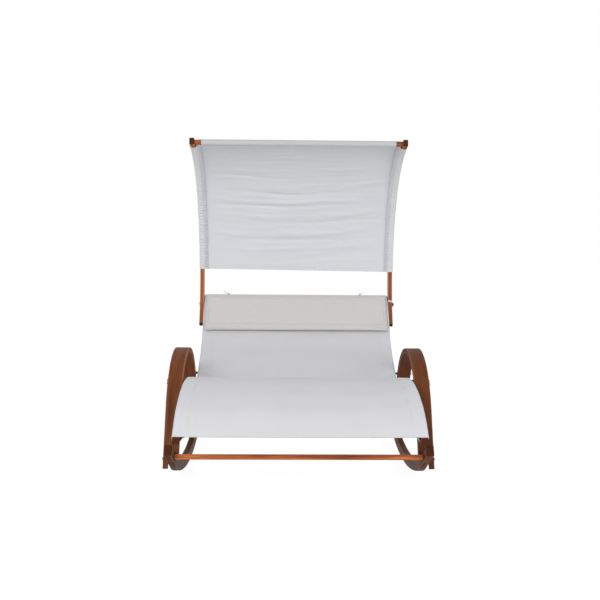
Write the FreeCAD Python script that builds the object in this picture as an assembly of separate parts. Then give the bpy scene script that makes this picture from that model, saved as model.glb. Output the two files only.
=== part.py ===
import FreeCAD
import Part
import math
import os

# Double rocking chaise lounge: two bent rockers, two arm hoops, two S-shaped
# seat rails with a stretched mesh sling, a head pillow and a tilting sun roof.
# Millimetres and degrees. While it is drawn, y runs from the front foot of the
# hoops towards the head, z is up from the floor and x is left to right. Every
# piece is then moved so that the origin lies under the middle of the whole.

Vector = FreeCAD.Vector

# Places across the width, each measured from the middle plane
HOOP_INNER_X = 575.0
HOOP_WIDTH = 75.0
FORK_INNER_TINE = 15.0
ROCKER_WIDTH = 36.0
RAIL_INNER_X = 528.0
RAIL_WIDTH = 32.0
ROOF_ARM_GAP = 4.0
ROOF_ARM_WIDTH = 25.0

# Rockers: a bent strip, written as its underside from the front end to the rear
ROCKER_THICKNESS = 48.0
ROCKER_CONTACT_Y = 550.0
ROCKER_NOSE_PAST_FORK = 152.2
ROCKER_NOSE_RADIUS = 450.0
ROCKER_NOSE_TURN = 14.5
ROCKER_FLOOR_RADIUS = 1900.0
ROCKER_FRONT_TURN = 10.5
ROCKER_REAR_TURN = 15.5
ROCKER_TAIL_PAST_FORK = 66.9
REST_LEAN = 3.64
REST_FLAT_LENGTH = 80.0

# Arm hoops: a bent strip, written as its outer face
HOOP_THICKNESS = 25.0
HOOP_RADIUS = 400.0
HOOP_CROWN_Y = 470.0
HOOP_CROWN_Z = 633.0
HOOP_FRONT_LEAN = 71.4
HOOP_REAR_LEAN = 53.6
FRONT_TINE_DROP = 22.0
FRONT_INNER_TINE_CUT = 54.0
REAR_TINE_DROP = 0.0

# Seat rails: an S-shaped bar, written as its upper face from foot to head
RAIL_DEPTH = 32.0
FOOT_END_Y = -359.3
FOOT_END_Z = 274.4
FOOT_HEADING = 43.0
FOOT_LENGTH = 81.0
FOOT_RADIUS = 420.0
FOOT_TURN = 16.0
CALF_RADIUS = 917.0
KNEE_RADIUS = 130.0
THIGH_SLOPE = 50.0
THIGH_LENGTH = 90.0
HIP_RADIUS = 150.0
BACK_SLOPE = 33.5
BACK_LENGTH = 405.0
SHOULDER_RADIUS = 330.0
HEAD_SLOPE = 58.0
HEAD_LENGTH = 264.0
FOOT_CUT = 22.0
FOOT_CUT_INSET = 18.0

# Cross members
CROSSBAR_RADIUS = 13.0
CROSSBAR_TENON_RADIUS = 7.0
CROSSBAR_TENON_LENGTH = 22.0
FRONT_CROSSBAR_FROM_FORK = 32.2
REAR_CROSSBAR_FROM_FORK = 32.9
HEAD_BAR_RADIUS = 16.0
HEAD_BAR_LIFT = 11.0
STRETCHER_HEIGHT = 75.0
STRETCHER_THICKNESS = 20.0
STRETCHER_FROM_HIP = 44.0
STRETCHER_DROP = 16.0
STRETCHER_SCREW_INSET = 6.5
KNEE_BAR_PAST_KNEE = 25.0

# Sling and its side sleeves
FABRIC = 2.0
SEAT_GAP = 0.3
SLEEVE_INNER_X = 500.0
SLING_FOOT_INSET = 22.0
SLING_HEAD_HEM = 55.0
SLING_HOLE_EASE = 0.5
SLING_SLOT_EASE = 1.0

# Head pillow and its hanging flap
PILLOW_SHORT_OF_RAIL = 12.0
PILLOW_HEIGHT = 240.0
PILLOW_CROWN = 38.0
PILLOW_EDGE = 14.0
PILLOW_TOP_GAP = 4.0
PILLOW_DRAW_IN = 7.0
PILLOW_FULL_SHARE = 0.88
FLAP_BACK_LENGTH = 130.0
LEFT_TIE_INSET = 131.0
RIGHT_TIE_INSET = 154.0
TIE_RADIUS = 1.6
TIE_KNOT_RADIUS = 4.5
LEFT_TIE_TAIL = 26.0
RIGHT_TIE_TAIL = 12.0
TIE_TAIL_RISE = 35.0

# Sun roof: two bent arms, written as their inner face from the lower end up
ROOF_ARM_DEPTH = 36.0
ROOF_PIVOT_FROM_HEAD = 34.0
ROOF_TAIL_LENGTH = 132.0
ROOF_FOOT_LENGTH = 44.0
ROOF_ARM_HEADING = 71.6
ROOF_ARM_RADIUS = 742.0
ROOF_ARM_TURN = 62.9
ROOF_CROWN_RADIUS = 616.0
ROOF_CROWN_TURN = 42.3
ROOF_TIP_LENGTH = 15.0
ROOF_BAR_RADIUS = 14.0
ROOF_BAR_FROM_TIP = 26.0
ROOF_FABRIC_START = 336.0
ROOF_SLEEVE_WIDTH = 50.0
ROOF_SAG = 26.0
ROOF_FOLD = 4.0
ROOF_HEM_DROP = 4.0
ROOF_FOLD_COUNT = 4
ROOF_STATIONS = 17
ROOF_NOTCH_WIDTH = 40.0
ROOF_NOTCH_LENGTH = 30.0
STRAP_WIDTH = 12.0
STRAP_THICKNESS = 1.2
STRAP_FROM_PIVOT = 18.0

# Fasteners
BOLT_RADIUS = 3.0
BOLT_CLEARANCE = 0.1
BOLT_HEAD_RADIUS = 6.5
BOLT_HEAD_HEIGHT = 3.5
BOLT_PAIR_SPACING = 18.0
NUT_RADIUS = 5.8
NUT_HEIGHT = 5.0
SPACER_RADIUS = 7.0
SCREW_RADIUS = 2.5
SCREW_HEAD_RADIUS = 4.5
SCREW_HEAD_HEIGHT = 3.0
SCREW_DEPTH = 45.0
PIVOT_RADIUS = 4.0
PIVOT_CLEARANCE = 0.05
PIVOT_HEAD_RADIUS = 9.0
PIVOT_HEAD_HEIGHT = 3.0
PIVOT_WASHER_RADIUS = 10.0
KNOB_RADIUS = 11.0
KNOB_LENGTH = 10.0
KNOB_LOBES = 5
KNOB_LOBE_RADIUS = 4.0

# Rounded edges of the wooden strips
EDGE_ROUND = 3.0
RUNNING_GAP = 0.1

HOOP_OUTER_X = HOOP_INNER_X + HOOP_WIDTH
ROCKER_INNER_X = HOOP_INNER_X + FORK_INNER_TINE
ROCKER_OUTER_X = ROCKER_INNER_X + ROCKER_WIDTH
RAIL_OUTER_X = RAIL_INNER_X + RAIL_WIDTH
ROOF_ARM_INNER_X = RAIL_OUTER_X + ROOF_ARM_GAP
ROOF_ARM_OUTER_X = ROOF_ARM_INNER_X + ROOF_ARM_WIDTH
SLING_OUTER_X = RAIL_OUTER_X + SEAT_GAP + FABRIC
PILLOW_HALF_WIDTH = RAIL_OUTER_X - PILLOW_SHORT_OF_RAIL
LEFT_TIE_X = LEFT_TIE_INSET - PILLOW_HALF_WIDTH
RIGHT_TIE_X = PILLOW_HALF_WIDTH - RIGHT_TIE_INSET


# A path in the side view: straight runs and tangent arcs, each kept as its
# start point, start heading, length and curvature (positive turns left).
class SidePath:
    def __init__(self, start, heading, moves):
        self.runs = []
        y, z = start
        angle = math.radians(heading)
        for move in moves:
            if move[0] == "line":
                length, bend = move[1], 0.0
            else:
                length = move[1] * math.radians(abs(move[2]))
                bend = math.copysign(1.0 / move[1], move[2])
            if length > 0.0:
                self.runs.append((y, z, angle, length, bend))
                y, z, angle = step_along(y, z, angle, length, bend)
        self.length = sum(run[3] for run in self.runs)

    # Point at a distance along the path, moved sideways by offset to the left
    def at(self, distance, offset=0.0):
        left = distance
        for y, z, angle, length, bend in self.runs:
            if left <= length or (y, z, angle, length, bend) == self.runs[-1]:
                py, pz, pa = step_along(y, z, angle, left, bend)
                return (py - math.sin(pa) * offset, pz + math.cos(pa) * offset)
            left -= length

    def heading(self, distance):
        left = distance
        for y, z, angle, length, bend in self.runs:
            if left <= length or (y, z, angle, length, bend) == self.runs[-1]:
                return angle + bend * left
            left -= length

    def joins(self):
        marks = [0.0]
        for run in self.runs:
            marks.append(marks[-1] + run[3])
        return marks

    # Start, middle and end distance of each run between two distances
    def spans(self, first, last):
        marks = [m for m in self.joins() if first + 1e-6 < m < last - 1e-6]
        marks = [first] + marks + [last]
        return [(a, 0.5 * (a + b), b) for a, b in zip(marks[:-1], marks[1:])]


def step_along(y, z, angle, length, bend):
    if abs(bend) < 1e-12:
        return y + math.cos(angle) * length, z + math.sin(angle) * length, angle
    turned = angle + bend * length
    return (y + (math.sin(turned) - math.sin(angle)) / bend,
            z - (math.cos(turned) - math.cos(angle)) / bend,
            turned)


def spot(x, point):
    return Vector(x, point[0], point[1])


def path_edges(path, offset, x, first, last):
    edges = []
    for a, middle, b in path.spans(first, last):
        p, q, r = (spot(x, path.at(d, offset)) for d in (a, middle, b))
        if (q - (p + r) * 0.5).Length < 1e-4:
            edges.append(Part.LineSegment(p, r).toShape())
        else:
            edges.append(Part.Arc(p, q, r).toShape())
    return edges


# A strip of constant depth along a path, from offset low to offset high, and
# from x0 to x1 across
def strip(path, low, high, x0, x1, first=0.0, last=None):
    last = path.length if last is None else last
    upper = path_edges(path, high, x0, first, last)
    lower = path_edges(path, low, x0, first, last)
    ends = [Part.LineSegment(spot(x0, path.at(d, low)), spot(x0, path.at(d, high))).toShape()
            for d in (first, last)]
    wire = Part.Wire(Part.__sortEdges__(upper + lower + ends))
    return Part.Face(wire).extrude(Vector(x1 - x0, 0, 0))


# The same strip with its long edges rounded
def rounded_strip(path, low, high, x0, x1, radius, first=0.0, last=None):
    last = path.length if last is None else last
    body = strip(path, low, high, x0, x1, first, last)
    middles = [spot(x, path.at(middle, offset))
               for a, middle, b in path.spans(first, last)
               for offset in (low, high)
               for x in (x0, x1)]
    long_edges = []
    for edge in body.Edges:
        centre = edge.valueAt(0.5 * (edge.FirstParameter + edge.LastParameter))
        if any((centre - m).Length < 0.01 for m in middles):
            long_edges.append(edge)
    return body.makeFillet(radius, long_edges)


# A round bar along x
def cross_cylinder(radius, x0, x1, point):
    return Part.makeCylinder(radius, x1 - x0, Vector(x0, point[0], point[1]), Vector(1, 0, 0))


def cross_tube(outer, inner, x0, x1, point):
    return cross_cylinder(outer, x0, x1, point).cut(cross_cylinder(inner, x0 - 1, x1 + 1, point))


# A six-sided nut along x with its hole
def cross_nut(x0, x1, point):
    corners = []
    for index in range(7):
        angle = math.radians(60 * index)
        corners.append(Vector(x0, point[0] + NUT_RADIUS * math.cos(angle),
                              point[1] + NUT_RADIUS * math.sin(angle)))
    body = Part.Face(Part.makePolygon(corners)).extrude(Vector(x1 - x0, 0, 0))
    return body.cut(cross_cylinder(BOLT_RADIUS, x0 - 1, x1 + 1, point))


def mirrored(shape):
    return shape.mirror(Vector(0, 0, 0), Vector(1, 0, 0))


def both_sides(shape):
    return [mirrored(shape), shape]


# Distance along a path where it comes nearest to another path's offset line
def crossing(path, offset, other, other_offset, steps=900):
    samples = [other.at(other.length * k / steps, other_offset) for k in range(steps + 1)]

    def miss(distance):
        y, z = path.at(distance, offset)
        return min((y - a) ** 2 + (z - b) ** 2 for a, b in samples)
    return miss


# The crossing of two centre lines between two distances of the first path
def crossing_between(path, offset, other, other_offset, first, last):
    miss = crossing(path, offset, other, other_offset)
    best = min((miss(first + (last - first) * k / 300), first + (last - first) * k / 300)
               for k in range(301))
    return best[1]


# Rockers

rocker_heading = -(ROCKER_NOSE_TURN + ROCKER_FRONT_TURN)
rest_sag = ROCKER_FLOOR_RADIUS - math.sqrt(ROCKER_FLOOR_RADIUS ** 2 - (REST_FLAT_LENGTH / 2) ** 2)


def rocker_outline(nose_length, tail_length):
    moves = [("line", nose_length),
             ("arc", ROCKER_NOSE_RADIUS, ROCKER_NOSE_TURN),
             ("arc", ROCKER_FLOOR_RADIUS, ROCKER_FRONT_TURN),
             ("arc", ROCKER_FLOOR_RADIUS, ROCKER_REAR_TURN),
             ("line", tail_length)]
    trial = SidePath((0.0, 0.0), rocker_heading, moves)
    contact = trial.at(trial.joins()[3])
    return SidePath((ROCKER_CONTACT_Y - contact[0], -rest_sag - contact[1]), rocker_heading, moves)


# Drawn too long at both ends, to find where the hoops' forks cross it
long_nose = ROCKER_FLOOR_RADIUS / 4
long_tail = ROCKER_FLOOR_RADIUS / 4
long_rocker = rocker_outline(long_nose, long_tail)
rocker_middle = ROCKER_THICKNESS / 2
lean_centre = Vector(0, ROCKER_CONTACT_Y, ROCKER_FLOOR_RADIUS - rest_sag)
floor_slab = Part.makeBox(4 * HOOP_OUTER_X, 4 * long_rocker.length, 10 * rest_sag,
                          Vector(-2 * HOOP_OUTER_X, -2 * long_rocker.length, -10 * rest_sag))


def make_rocker():
    return rounded_strip(rocker_path, 0.0, ROCKER_THICKNESS, ROCKER_INNER_X, ROCKER_OUTER_X, EDGE_ROUND)


# Arm hoops

hoop_centre = (HOOP_CROWN_Y, HOOP_CROWN_Z - HOOP_RADIUS)
front_lean = math.radians(HOOP_FRONT_LEAN)
rear_lean = math.radians(HOOP_REAR_LEAN)
front_tangent = (hoop_centre[0] - HOOP_RADIUS * math.sin(front_lean),
                 hoop_centre[1] + HOOP_RADIUS * math.cos(front_lean))


def hoop_outline(front_leg, rear_leg):
    start = (front_tangent[0] - front_leg * math.cos(front_lean),
             front_tangent[1] - front_leg * math.sin(front_lean))
    return SidePath(start, HOOP_FRONT_LEAN,
                    [("line", front_leg),
                     ("arc", HOOP_RADIUS, -(HOOP_FRONT_LEAN + HOOP_REAR_LEAN)),
                     ("line", rear_leg)])


# Each leg runs down to the underside of the rocker and its tine a little further
def leg_length_to_rocker(front):
    reach = HOOP_CROWN_Z * 1.5
    trial = hoop_outline(reach, reach)
    first, last = (0.0, reach) if front else (trial.length - reach, trial.length)
    where = crossing_between(trial, -HOOP_THICKNESS / 2, long_rocker, 0.0, first, last)
    return reach - where if front else where - (trial.length - reach)


hoop_path = hoop_outline(leg_length_to_rocker(True) + FRONT_TINE_DROP,
                         leg_length_to_rocker(False) + REAR_TINE_DROP)
hoop_middle = -HOOP_THICKNESS / 2

# The rocker runs on past both forks
front_fork_mark = crossing_between(long_rocker, rocker_middle, hoop_path, hoop_middle,
                                   0.0, long_rocker.length / 2)
rear_fork_mark = crossing_between(long_rocker, rocker_middle, hoop_path, hoop_middle,
                                  long_rocker.length / 2, long_rocker.length)
nose_cut = front_fork_mark - ROCKER_NOSE_PAST_FORK
tail_cut = long_rocker.length - rear_fork_mark - ROCKER_TAIL_PAST_FORK
rocker_path = rocker_outline(long_nose - nose_cut, long_tail - tail_cut)

# Seat rails

rail_path = SidePath((FOOT_END_Y, FOOT_END_Z), FOOT_HEADING,
                     [("line", FOOT_LENGTH),
                      ("arc", FOOT_RADIUS, -FOOT_TURN),
                      ("arc", CALF_RADIUS, -(FOOT_HEADING - FOOT_TURN)),
                      ("arc", KNEE_RADIUS, -THIGH_SLOPE),
                      ("line", THIGH_LENGTH),
                      ("arc", HIP_RADIUS, THIGH_SLOPE + BACK_SLOPE),
                      ("line", BACK_LENGTH),
                      ("arc", SHOULDER_RADIUS, HEAD_SLOPE - BACK_SLOPE),
                      ("line", HEAD_LENGTH)])
rail_middle = -RAIL_DEPTH / 2
foot_bend_distance = rail_path.joins()[2]
knee_distance = rail_path.joins()[3]
hip_end_distance = rail_path.joins()[6]
shoulder_distance = rail_path.joins()[7]
head_bar_centre = step_along(*rail_path.at(rail_path.length, rail_middle),
                             rail_path.heading(rail_path.length), HEAD_BAR_LIFT, 0.0)[:2]

# Bolts of the hoops to the rails

front_cross = crossing_between(rail_path, rail_middle, hoop_path, hoop_middle,
                               foot_bend_distance, knee_distance)
rear_cross = crossing_between(rail_path, rail_middle, hoop_path, hoop_middle,
                              hip_end_distance, shoulder_distance)
front_cross_point = rail_path.at(front_cross, rail_middle)
rear_cross_point = rail_path.at(rear_cross, rail_middle)
front_leg_place = crossing_between(hoop_path, hoop_middle, rail_path, rail_middle,
                                   0.0, hoop_path.length / 2)
front_leg_heading = hoop_path.heading(front_leg_place)


def along_front_leg(distance):
    return (front_cross_point[0] + math.cos(front_leg_heading) * distance,
            front_cross_point[1] + math.sin(front_leg_heading) * distance)


front_bolt_points = [along_front_leg(-BOLT_PAIR_SPACING / 2), along_front_leg(BOLT_PAIR_SPACING / 2)]
hoop_bolt_points = front_bolt_points + [rear_cross_point]

# Bolts through the forked hoop ends and the rockers


def fork_bolt_point(front):
    half = hoop_path.length / 2
    first, last = (0.0, half) if front else (half, hoop_path.length)
    where = crossing_between(hoop_path, hoop_middle, rocker_path, rocker_middle, first, last)
    return hoop_path.at(where, hoop_middle)


fork_points = [fork_bolt_point(True), fork_bolt_point(False)]

# Crossbars between the rockers

front_bar_point = rocker_path.at(ROCKER_NOSE_PAST_FORK - FRONT_CROSSBAR_FROM_FORK, rocker_middle)
rear_bar_point = rocker_path.at(rocker_path.length - ROCKER_TAIL_PAST_FORK + REAR_CROSSBAR_FROM_FORK,
                                rocker_middle)

# Seat stretcher under the hip

stretcher_place = rail_path.at(hip_end_distance + STRETCHER_FROM_HIP)
stretcher_top = stretcher_place[1] - STRETCHER_DROP
stretcher_screw_point = (stretcher_place[0], stretcher_top - STRETCHER_SCREW_INSET)

# Knee crossbar between the rails, just under the crest of the seat

knee_bar_point = rail_path.at(knee_distance + KNEE_BAR_PAST_KNEE, rail_middle)

# Sun roof arms, hung on the rails by their pivots

pivot_point = rail_path.at(rail_path.length - ROOF_PIVOT_FROM_HEAD, rail_middle)
roof_moves = [("line", ROOF_FOOT_LENGTH),
              ("arc", ROOF_ARM_RADIUS, ROOF_ARM_TURN),
              ("arc", ROOF_CROWN_RADIUS, ROOF_CROWN_TURN),
              ("line", ROOF_TIP_LENGTH)]
roof_middle = -ROOF_ARM_DEPTH / 2
trial_roof = SidePath((0.0, 0.0), ROOF_ARM_HEADING, roof_moves)
trial_pivot = trial_roof.at(ROOF_TAIL_LENGTH, roof_middle)
roof_path = SidePath((pivot_point[0] - trial_pivot[0], pivot_point[1] - trial_pivot[1]),
                     ROOF_ARM_HEADING, roof_moves)
roof_bar_distance = roof_path.length - ROOF_BAR_FROM_TIP
roof_bar_point = roof_path.at(roof_bar_distance, roof_middle)


def make_hoop():
    body = rounded_strip(hoop_path, -HOOP_THICKNESS, 0.0, HOOP_INNER_X, HOOP_OUTER_X, EDGE_ROUND)
    slot = strip(rocker_path, -ROCKER_NOSE_RADIUS / 4, ROCKER_THICKNESS, ROCKER_INNER_X, ROCKER_OUTER_X)
    inner_cut = strip(hoop_path, -2 * HOOP_THICKNESS, HOOP_THICKNESS, HOOP_INNER_X - 1, ROCKER_INNER_X,
                      0.0, FRONT_INNER_TINE_CUT)
    body = body.cut([slot, inner_cut])
    for point in hoop_bolt_points:
        body = body.cut(cross_cylinder(BOLT_RADIUS + BOLT_CLEARANCE, HOOP_INNER_X - 1, HOOP_OUTER_X + 1, point))
    for point in fork_points:
        body = body.cut(cross_cylinder(BOLT_RADIUS + BOLT_CLEARANCE, HOOP_INNER_X - 1, HOOP_OUTER_X + 1, point))
    return body


def drill_rocker(body):
    for point in fork_points:
        body = body.cut(cross_cylinder(BOLT_RADIUS + BOLT_CLEARANCE, ROCKER_INNER_X - 1, ROCKER_OUTER_X + 1, point))
    for point in (front_bar_point, rear_bar_point):
        body = body.cut(cross_cylinder(CROSSBAR_TENON_RADIUS + BOLT_CLEARANCE, ROCKER_INNER_X - 1,
                                       ROCKER_INNER_X + CROSSBAR_TENON_LENGTH + BOLT_CLEARANCE, point))
        body = body.cut(crossbar_screw(point, BOLT_CLEARANCE))
    return body


# A countersunk screw up through the rocker's underside into a crossbar tenon
def crossbar_screw(point, grow=0.0):
    near = min((rocker_path.length * k / 400 for k in range(401)),
               key=lambda d: (rocker_path.at(d, rocker_middle)[0] - point[0]) ** 2
               + (rocker_path.at(d, rocker_middle)[1] - point[1]) ** 2)
    angle = rocker_path.heading(near)
    up = Vector(0, -math.sin(angle), math.cos(angle))
    x = ROCKER_INNER_X + CROSSBAR_TENON_LENGTH / 2
    base = spot(x, rocker_path.at(near)) - up * grow
    reach = ROCKER_THICKNESS / 2
    shank = Part.makeCylinder(SCREW_RADIUS + grow, reach + grow, base, up)
    head = Part.makeCone(SCREW_HEAD_RADIUS + grow, SCREW_RADIUS + grow, SCREW_HEAD_HEIGHT, base, up)
    return shank.fuse(head)


def make_crossbar(point):
    bar = cross_cylinder(CROSSBAR_RADIUS, -ROCKER_INNER_X, ROCKER_INNER_X, point)
    tenons = cross_cylinder(CROSSBAR_TENON_RADIUS, -ROCKER_INNER_X - CROSSBAR_TENON_LENGTH,
                            ROCKER_INNER_X + CROSSBAR_TENON_LENGTH, point)
    bar = bar.fuse(tenons).removeSplitter()
    for screw in both_sides(crossbar_screw(point, BOLT_CLEARANCE)):
        bar = bar.cut(screw)
    return bar


def make_rail():
    body = rounded_strip(rail_path, -RAIL_DEPTH, 0.0, RAIL_INNER_X, RAIL_OUTER_X, EDGE_ROUND)
    # the foot end is trimmed nearer to upright than square
    start = rail_path.at(FOOT_CUT_INSET)
    trim = Part.makeBox(2 * RAIL_WIDTH, 2 * RAIL_DEPTH, 4 * RAIL_DEPTH,
                        Vector(RAIL_INNER_X - RAIL_WIDTH / 2, start[0] - 2 * RAIL_DEPTH,
                               start[1] - 2 * RAIL_DEPTH))
    trim.rotate(spot(0, start), Vector(1, 0, 0), FOOT_CUT)
    body = body.cut(trim)
    body = body.cut(cross_cylinder(HEAD_BAR_RADIUS, RAIL_INNER_X - 1, RAIL_OUTER_X + 1, head_bar_centre))
    for point in hoop_bolt_points:
        body = body.cut(cross_cylinder(BOLT_RADIUS + BOLT_CLEARANCE, RAIL_INNER_X - 1, RAIL_OUTER_X + 1, point))
    body = body.cut(cross_cylinder(PIVOT_RADIUS + PIVOT_CLEARANCE, RAIL_INNER_X - 1, RAIL_OUTER_X + 1,
                                   pivot_point))
    for point in (stretcher_screw_point, knee_bar_point):
        body = body.cut(rail_screw(point, BOLT_CLEARANCE))
    body = body.cut(head_screw(BOLT_CLEARANCE))
    return body


def make_stretcher():
    board = Part.makeBox(2 * RAIL_INNER_X, STRETCHER_THICKNESS, STRETCHER_HEIGHT,
                         Vector(-RAIL_INNER_X, stretcher_place[0] - STRETCHER_THICKNESS / 2,
                                stretcher_top - STRETCHER_HEIGHT))
    edges = [e for e in board.Edges if e.Length > 1.5 * RAIL_INNER_X]
    board = board.makeFillet(EDGE_ROUND, edges)
    for screw in both_sides(rail_screw(stretcher_screw_point, BOLT_CLEARANCE)):
        board = board.cut(screw)
    return board


# A screw from a rail's outer side into the end of a cross member
def rail_screw(point, grow=0.0):
    shank = cross_cylinder(SCREW_RADIUS + grow, RAIL_INNER_X - SCREW_DEPTH, RAIL_OUTER_X, point)
    head = cross_cylinder(SCREW_HEAD_RADIUS + grow, RAIL_OUTER_X - SCREW_HEAD_HEIGHT, RAIL_OUTER_X, point)
    return shank.fuse(head)


def make_knee_bar():
    bar = cross_cylinder(CROSSBAR_RADIUS, -RAIL_INNER_X, RAIL_INNER_X, knee_bar_point)
    for screw in both_sides(rail_screw(knee_bar_point, BOLT_CLEARANCE)):
        bar = bar.cut(screw)
    return bar


# A screw through the head bar down into the end of the rail
def head_screw(grow=0.0):
    angle = rail_path.heading(rail_path.length)
    down = Vector(0, -math.cos(angle), -math.sin(angle))
    middle = spot(0.5 * (RAIL_INNER_X + RAIL_OUTER_X), head_bar_centre)
    top = middle - down * (HEAD_BAR_RADIUS - 1.0)
    shank = Part.makeCylinder(SCREW_RADIUS + grow, SCREW_DEPTH, top, down)
    head = Part.makeCylinder(SCREW_HEAD_RADIUS + grow, SCREW_HEAD_HEIGHT, top, down)
    opening = Part.makeCylinder(SCREW_HEAD_RADIUS + grow, HEAD_BAR_RADIUS, top - down * HEAD_BAR_RADIUS, down)
    body = shank.fuse(head)
    return body.fuse(opening) if grow > 0.0 else body


def make_head_bar():
    bar = cross_cylinder(HEAD_BAR_RADIUS, -RAIL_OUTER_X, RAIL_OUTER_X, head_bar_centre)
    for screw in both_sides(head_screw(BOLT_CLEARANCE)):
        bar = bar.cut(screw)
    return bar


# The sling: one sheet over the rails, a sleeve round each rail and a turn over
# the head bar. The sleeves have holes for the bolts and the stretcher.
def make_sling():
    low, high = SEAT_GAP, SEAT_GAP + FABRIC
    under = -RAIL_DEPTH - SEAT_GAP - FABRIC
    head = rail_path.length
    foot = SLING_FOOT_INSET
    pieces = [strip(rail_path, low, high, -SLING_OUTER_X, SLING_OUTER_X, foot)]
    side = [strip(rail_path, under, high, SLING_OUTER_X - FABRIC, SLING_OUTER_X, foot),
            strip(rail_path, under, high, SLEEVE_INNER_X, SLEEVE_INNER_X + FABRIC, foot),
            strip(rail_path, under, under + FABRIC, SLEEVE_INNER_X, SLING_OUTER_X, foot)]
    for piece in side:
        pieces += both_sides(piece)
    body = pieces[0].fuse(pieces[1:])
    wrap_radius = HEAD_BAR_RADIUS + SEAT_GAP
    wrap = SidePath(rail_path.at(head, low), HEAD_SLOPE,
                    [("line", HEAD_BAR_LIFT), ("arc", wrap_radius, -90.0), ("arc", wrap_radius, -90.0),
                     ("line", HEAD_BAR_LIFT + SLING_HEAD_HEM)])
    turn = strip(wrap, 0.0, FABRIC, -SLING_OUTER_X, SLING_OUTER_X, 0.0, wrap.length - SLING_HEAD_HEM)
    hem = strip(wrap, 0.0, FABRIC, -SLEEVE_INNER_X, SLEEVE_INNER_X, wrap.length - SLING_HEAD_HEM, wrap.length)
    body = body.fuse([turn, hem]).removeSplitter()
    holes = [cross_cylinder(SPACER_RADIUS + SLING_HOLE_EASE, RAIL_OUTER_X - 1, SLING_OUTER_X + 1, point)
             for point in hoop_bolt_points]
    holes.append(cross_cylinder(PIVOT_WASHER_RADIUS + SLING_HOLE_EASE, RAIL_OUTER_X - 1,
                                SLING_OUTER_X + 1, pivot_point))
    board = Part.makeBox(2 * RAIL_INNER_X, STRETCHER_THICKNESS + 2 * SLING_SLOT_EASE,
                         STRETCHER_HEIGHT + 2 * SLING_SLOT_EASE,
                         Vector(-RAIL_INNER_X, stretcher_place[0] - STRETCHER_THICKNESS / 2 - SLING_SLOT_EASE,
                                stretcher_top - STRETCHER_HEIGHT - SLING_SLOT_EASE))
    cuts = [board,
            cross_cylinder(CROSSBAR_RADIUS + SLING_SLOT_EASE, -RAIL_INNER_X, RAIL_INNER_X, knee_bar_point),
            cross_cylinder(HEAD_BAR_RADIUS + SEAT_GAP / 2, -RAIL_OUTER_X, RAIL_OUTER_X, head_bar_centre)]
    for hole in holes:
        cuts += both_sides(hole)
    return body.cut(cuts)


# Head pillow: crowned in front, flat against the sling, drawn in at its ends
def pillow_section(x, height, crown, edge):
    top = rail_path.length - PILLOW_TOP_GAP - (PILLOW_HEIGHT - height) / 2
    bottom = top - height
    back = SEAT_GAP + FABRIC + SEAT_GAP
    lower_back = spot(x, rail_path.at(bottom + edge / 3, back))
    upper_back = spot(x, rail_path.at(top - edge / 3, back))
    upper_front = spot(x, rail_path.at(top, back + edge))
    lower_front = spot(x, rail_path.at(bottom, back + edge))
    crest = spot(x, rail_path.at((top + bottom) / 2, back + crown))
    edges = [Part.LineSegment(lower_back, upper_back).toShape(),
             Part.LineSegment(upper_back, upper_front).toShape(),
             Part.Arc(upper_front, crest, lower_front).toShape(),
             Part.LineSegment(lower_front, lower_back).toShape()]
    return Part.Wire(edges)


def make_pillow():
    def wire(share, draw, crown):
        depth = PILLOW_CROWN * crown
        return pillow_section(PILLOW_HALF_WIDTH * share, PILLOW_HEIGHT - draw, depth,
                              min(PILLOW_EDGE, 0.7 * depth))
    tip = [wire(PILLOW_FULL_SHARE, 0.0, 1.0), wire(0.97, PILLOW_DRAW_IN, 0.82),
           wire(1.0, 3 * PILLOW_DRAW_IN, 0.42)]
    end = Part.makeLoft(tip, True, False)
    middle_length = 2 * PILLOW_HALF_WIDTH * PILLOW_FULL_SHARE
    middle = Part.Face(tip[0]).extrude(Vector(-middle_length, 0, 0))
    return middle.fuse(both_sides(end)).removeSplitter()


# The pillow's flap lies over the head bar and hangs behind it
def make_flap():
    offset = 2 * SEAT_GAP + FABRIC
    first = rail_path.length - PILLOW_TOP_GAP / 2
    turn_radius = HEAD_BAR_RADIUS + offset
    path = SidePath(rail_path.at(first, offset), HEAD_SLOPE,
                    [("line", PILLOW_TOP_GAP / 2 + HEAD_BAR_LIFT), ("arc", turn_radius, -90.0),
                     ("arc", turn_radius, -90.0), ("line", HEAD_BAR_LIFT + FLAP_BACK_LENGTH)])
    return strip(path, 0.0, FABRIC / 2, -PILLOW_HALF_WIDTH, PILLOW_HALF_WIDTH)


# A knotted end of a tie cord, resting on the flap above the head bar
def make_tie(x, tail_length, lean):
    reach = HEAD_BAR_RADIUS + 3 * SEAT_GAP + 1.5 * FABRIC + TIE_KNOT_RADIUS
    knot_place = spot(x, head_bar_centre) + Vector(0, 0, reach)
    knot = Part.makeCylinder(TIE_KNOT_RADIUS, 2 * TIE_KNOT_RADIUS,
                             knot_place - Vector(TIE_KNOT_RADIUS, 0, 0), Vector(1, 0, 0))
    knot = knot.makeFillet(TIE_RADIUS, [e for e in knot.Edges if e.Closed])
    direction = Vector(lean * math.cos(math.radians(TIE_TAIL_RISE)), 0, math.sin(math.radians(TIE_TAIL_RISE)))
    tail = Part.makeCylinder(TIE_RADIUS, tail_length, knot_place, direction)
    return knot.fuse(tail)


# Sun roof

def make_roof_arm():
    body = rounded_strip(roof_path, -ROOF_ARM_DEPTH, 0.0, ROOF_ARM_INNER_X, ROOF_ARM_OUTER_X, EDGE_ROUND)
    body = body.cut(cross_cylinder(PIVOT_RADIUS + PIVOT_CLEARANCE, ROOF_ARM_INNER_X - 1,
                                   ROOF_ARM_OUTER_X + 1, pivot_point))
    return body.cut(roof_screw(BOLT_CLEARANCE))


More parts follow.
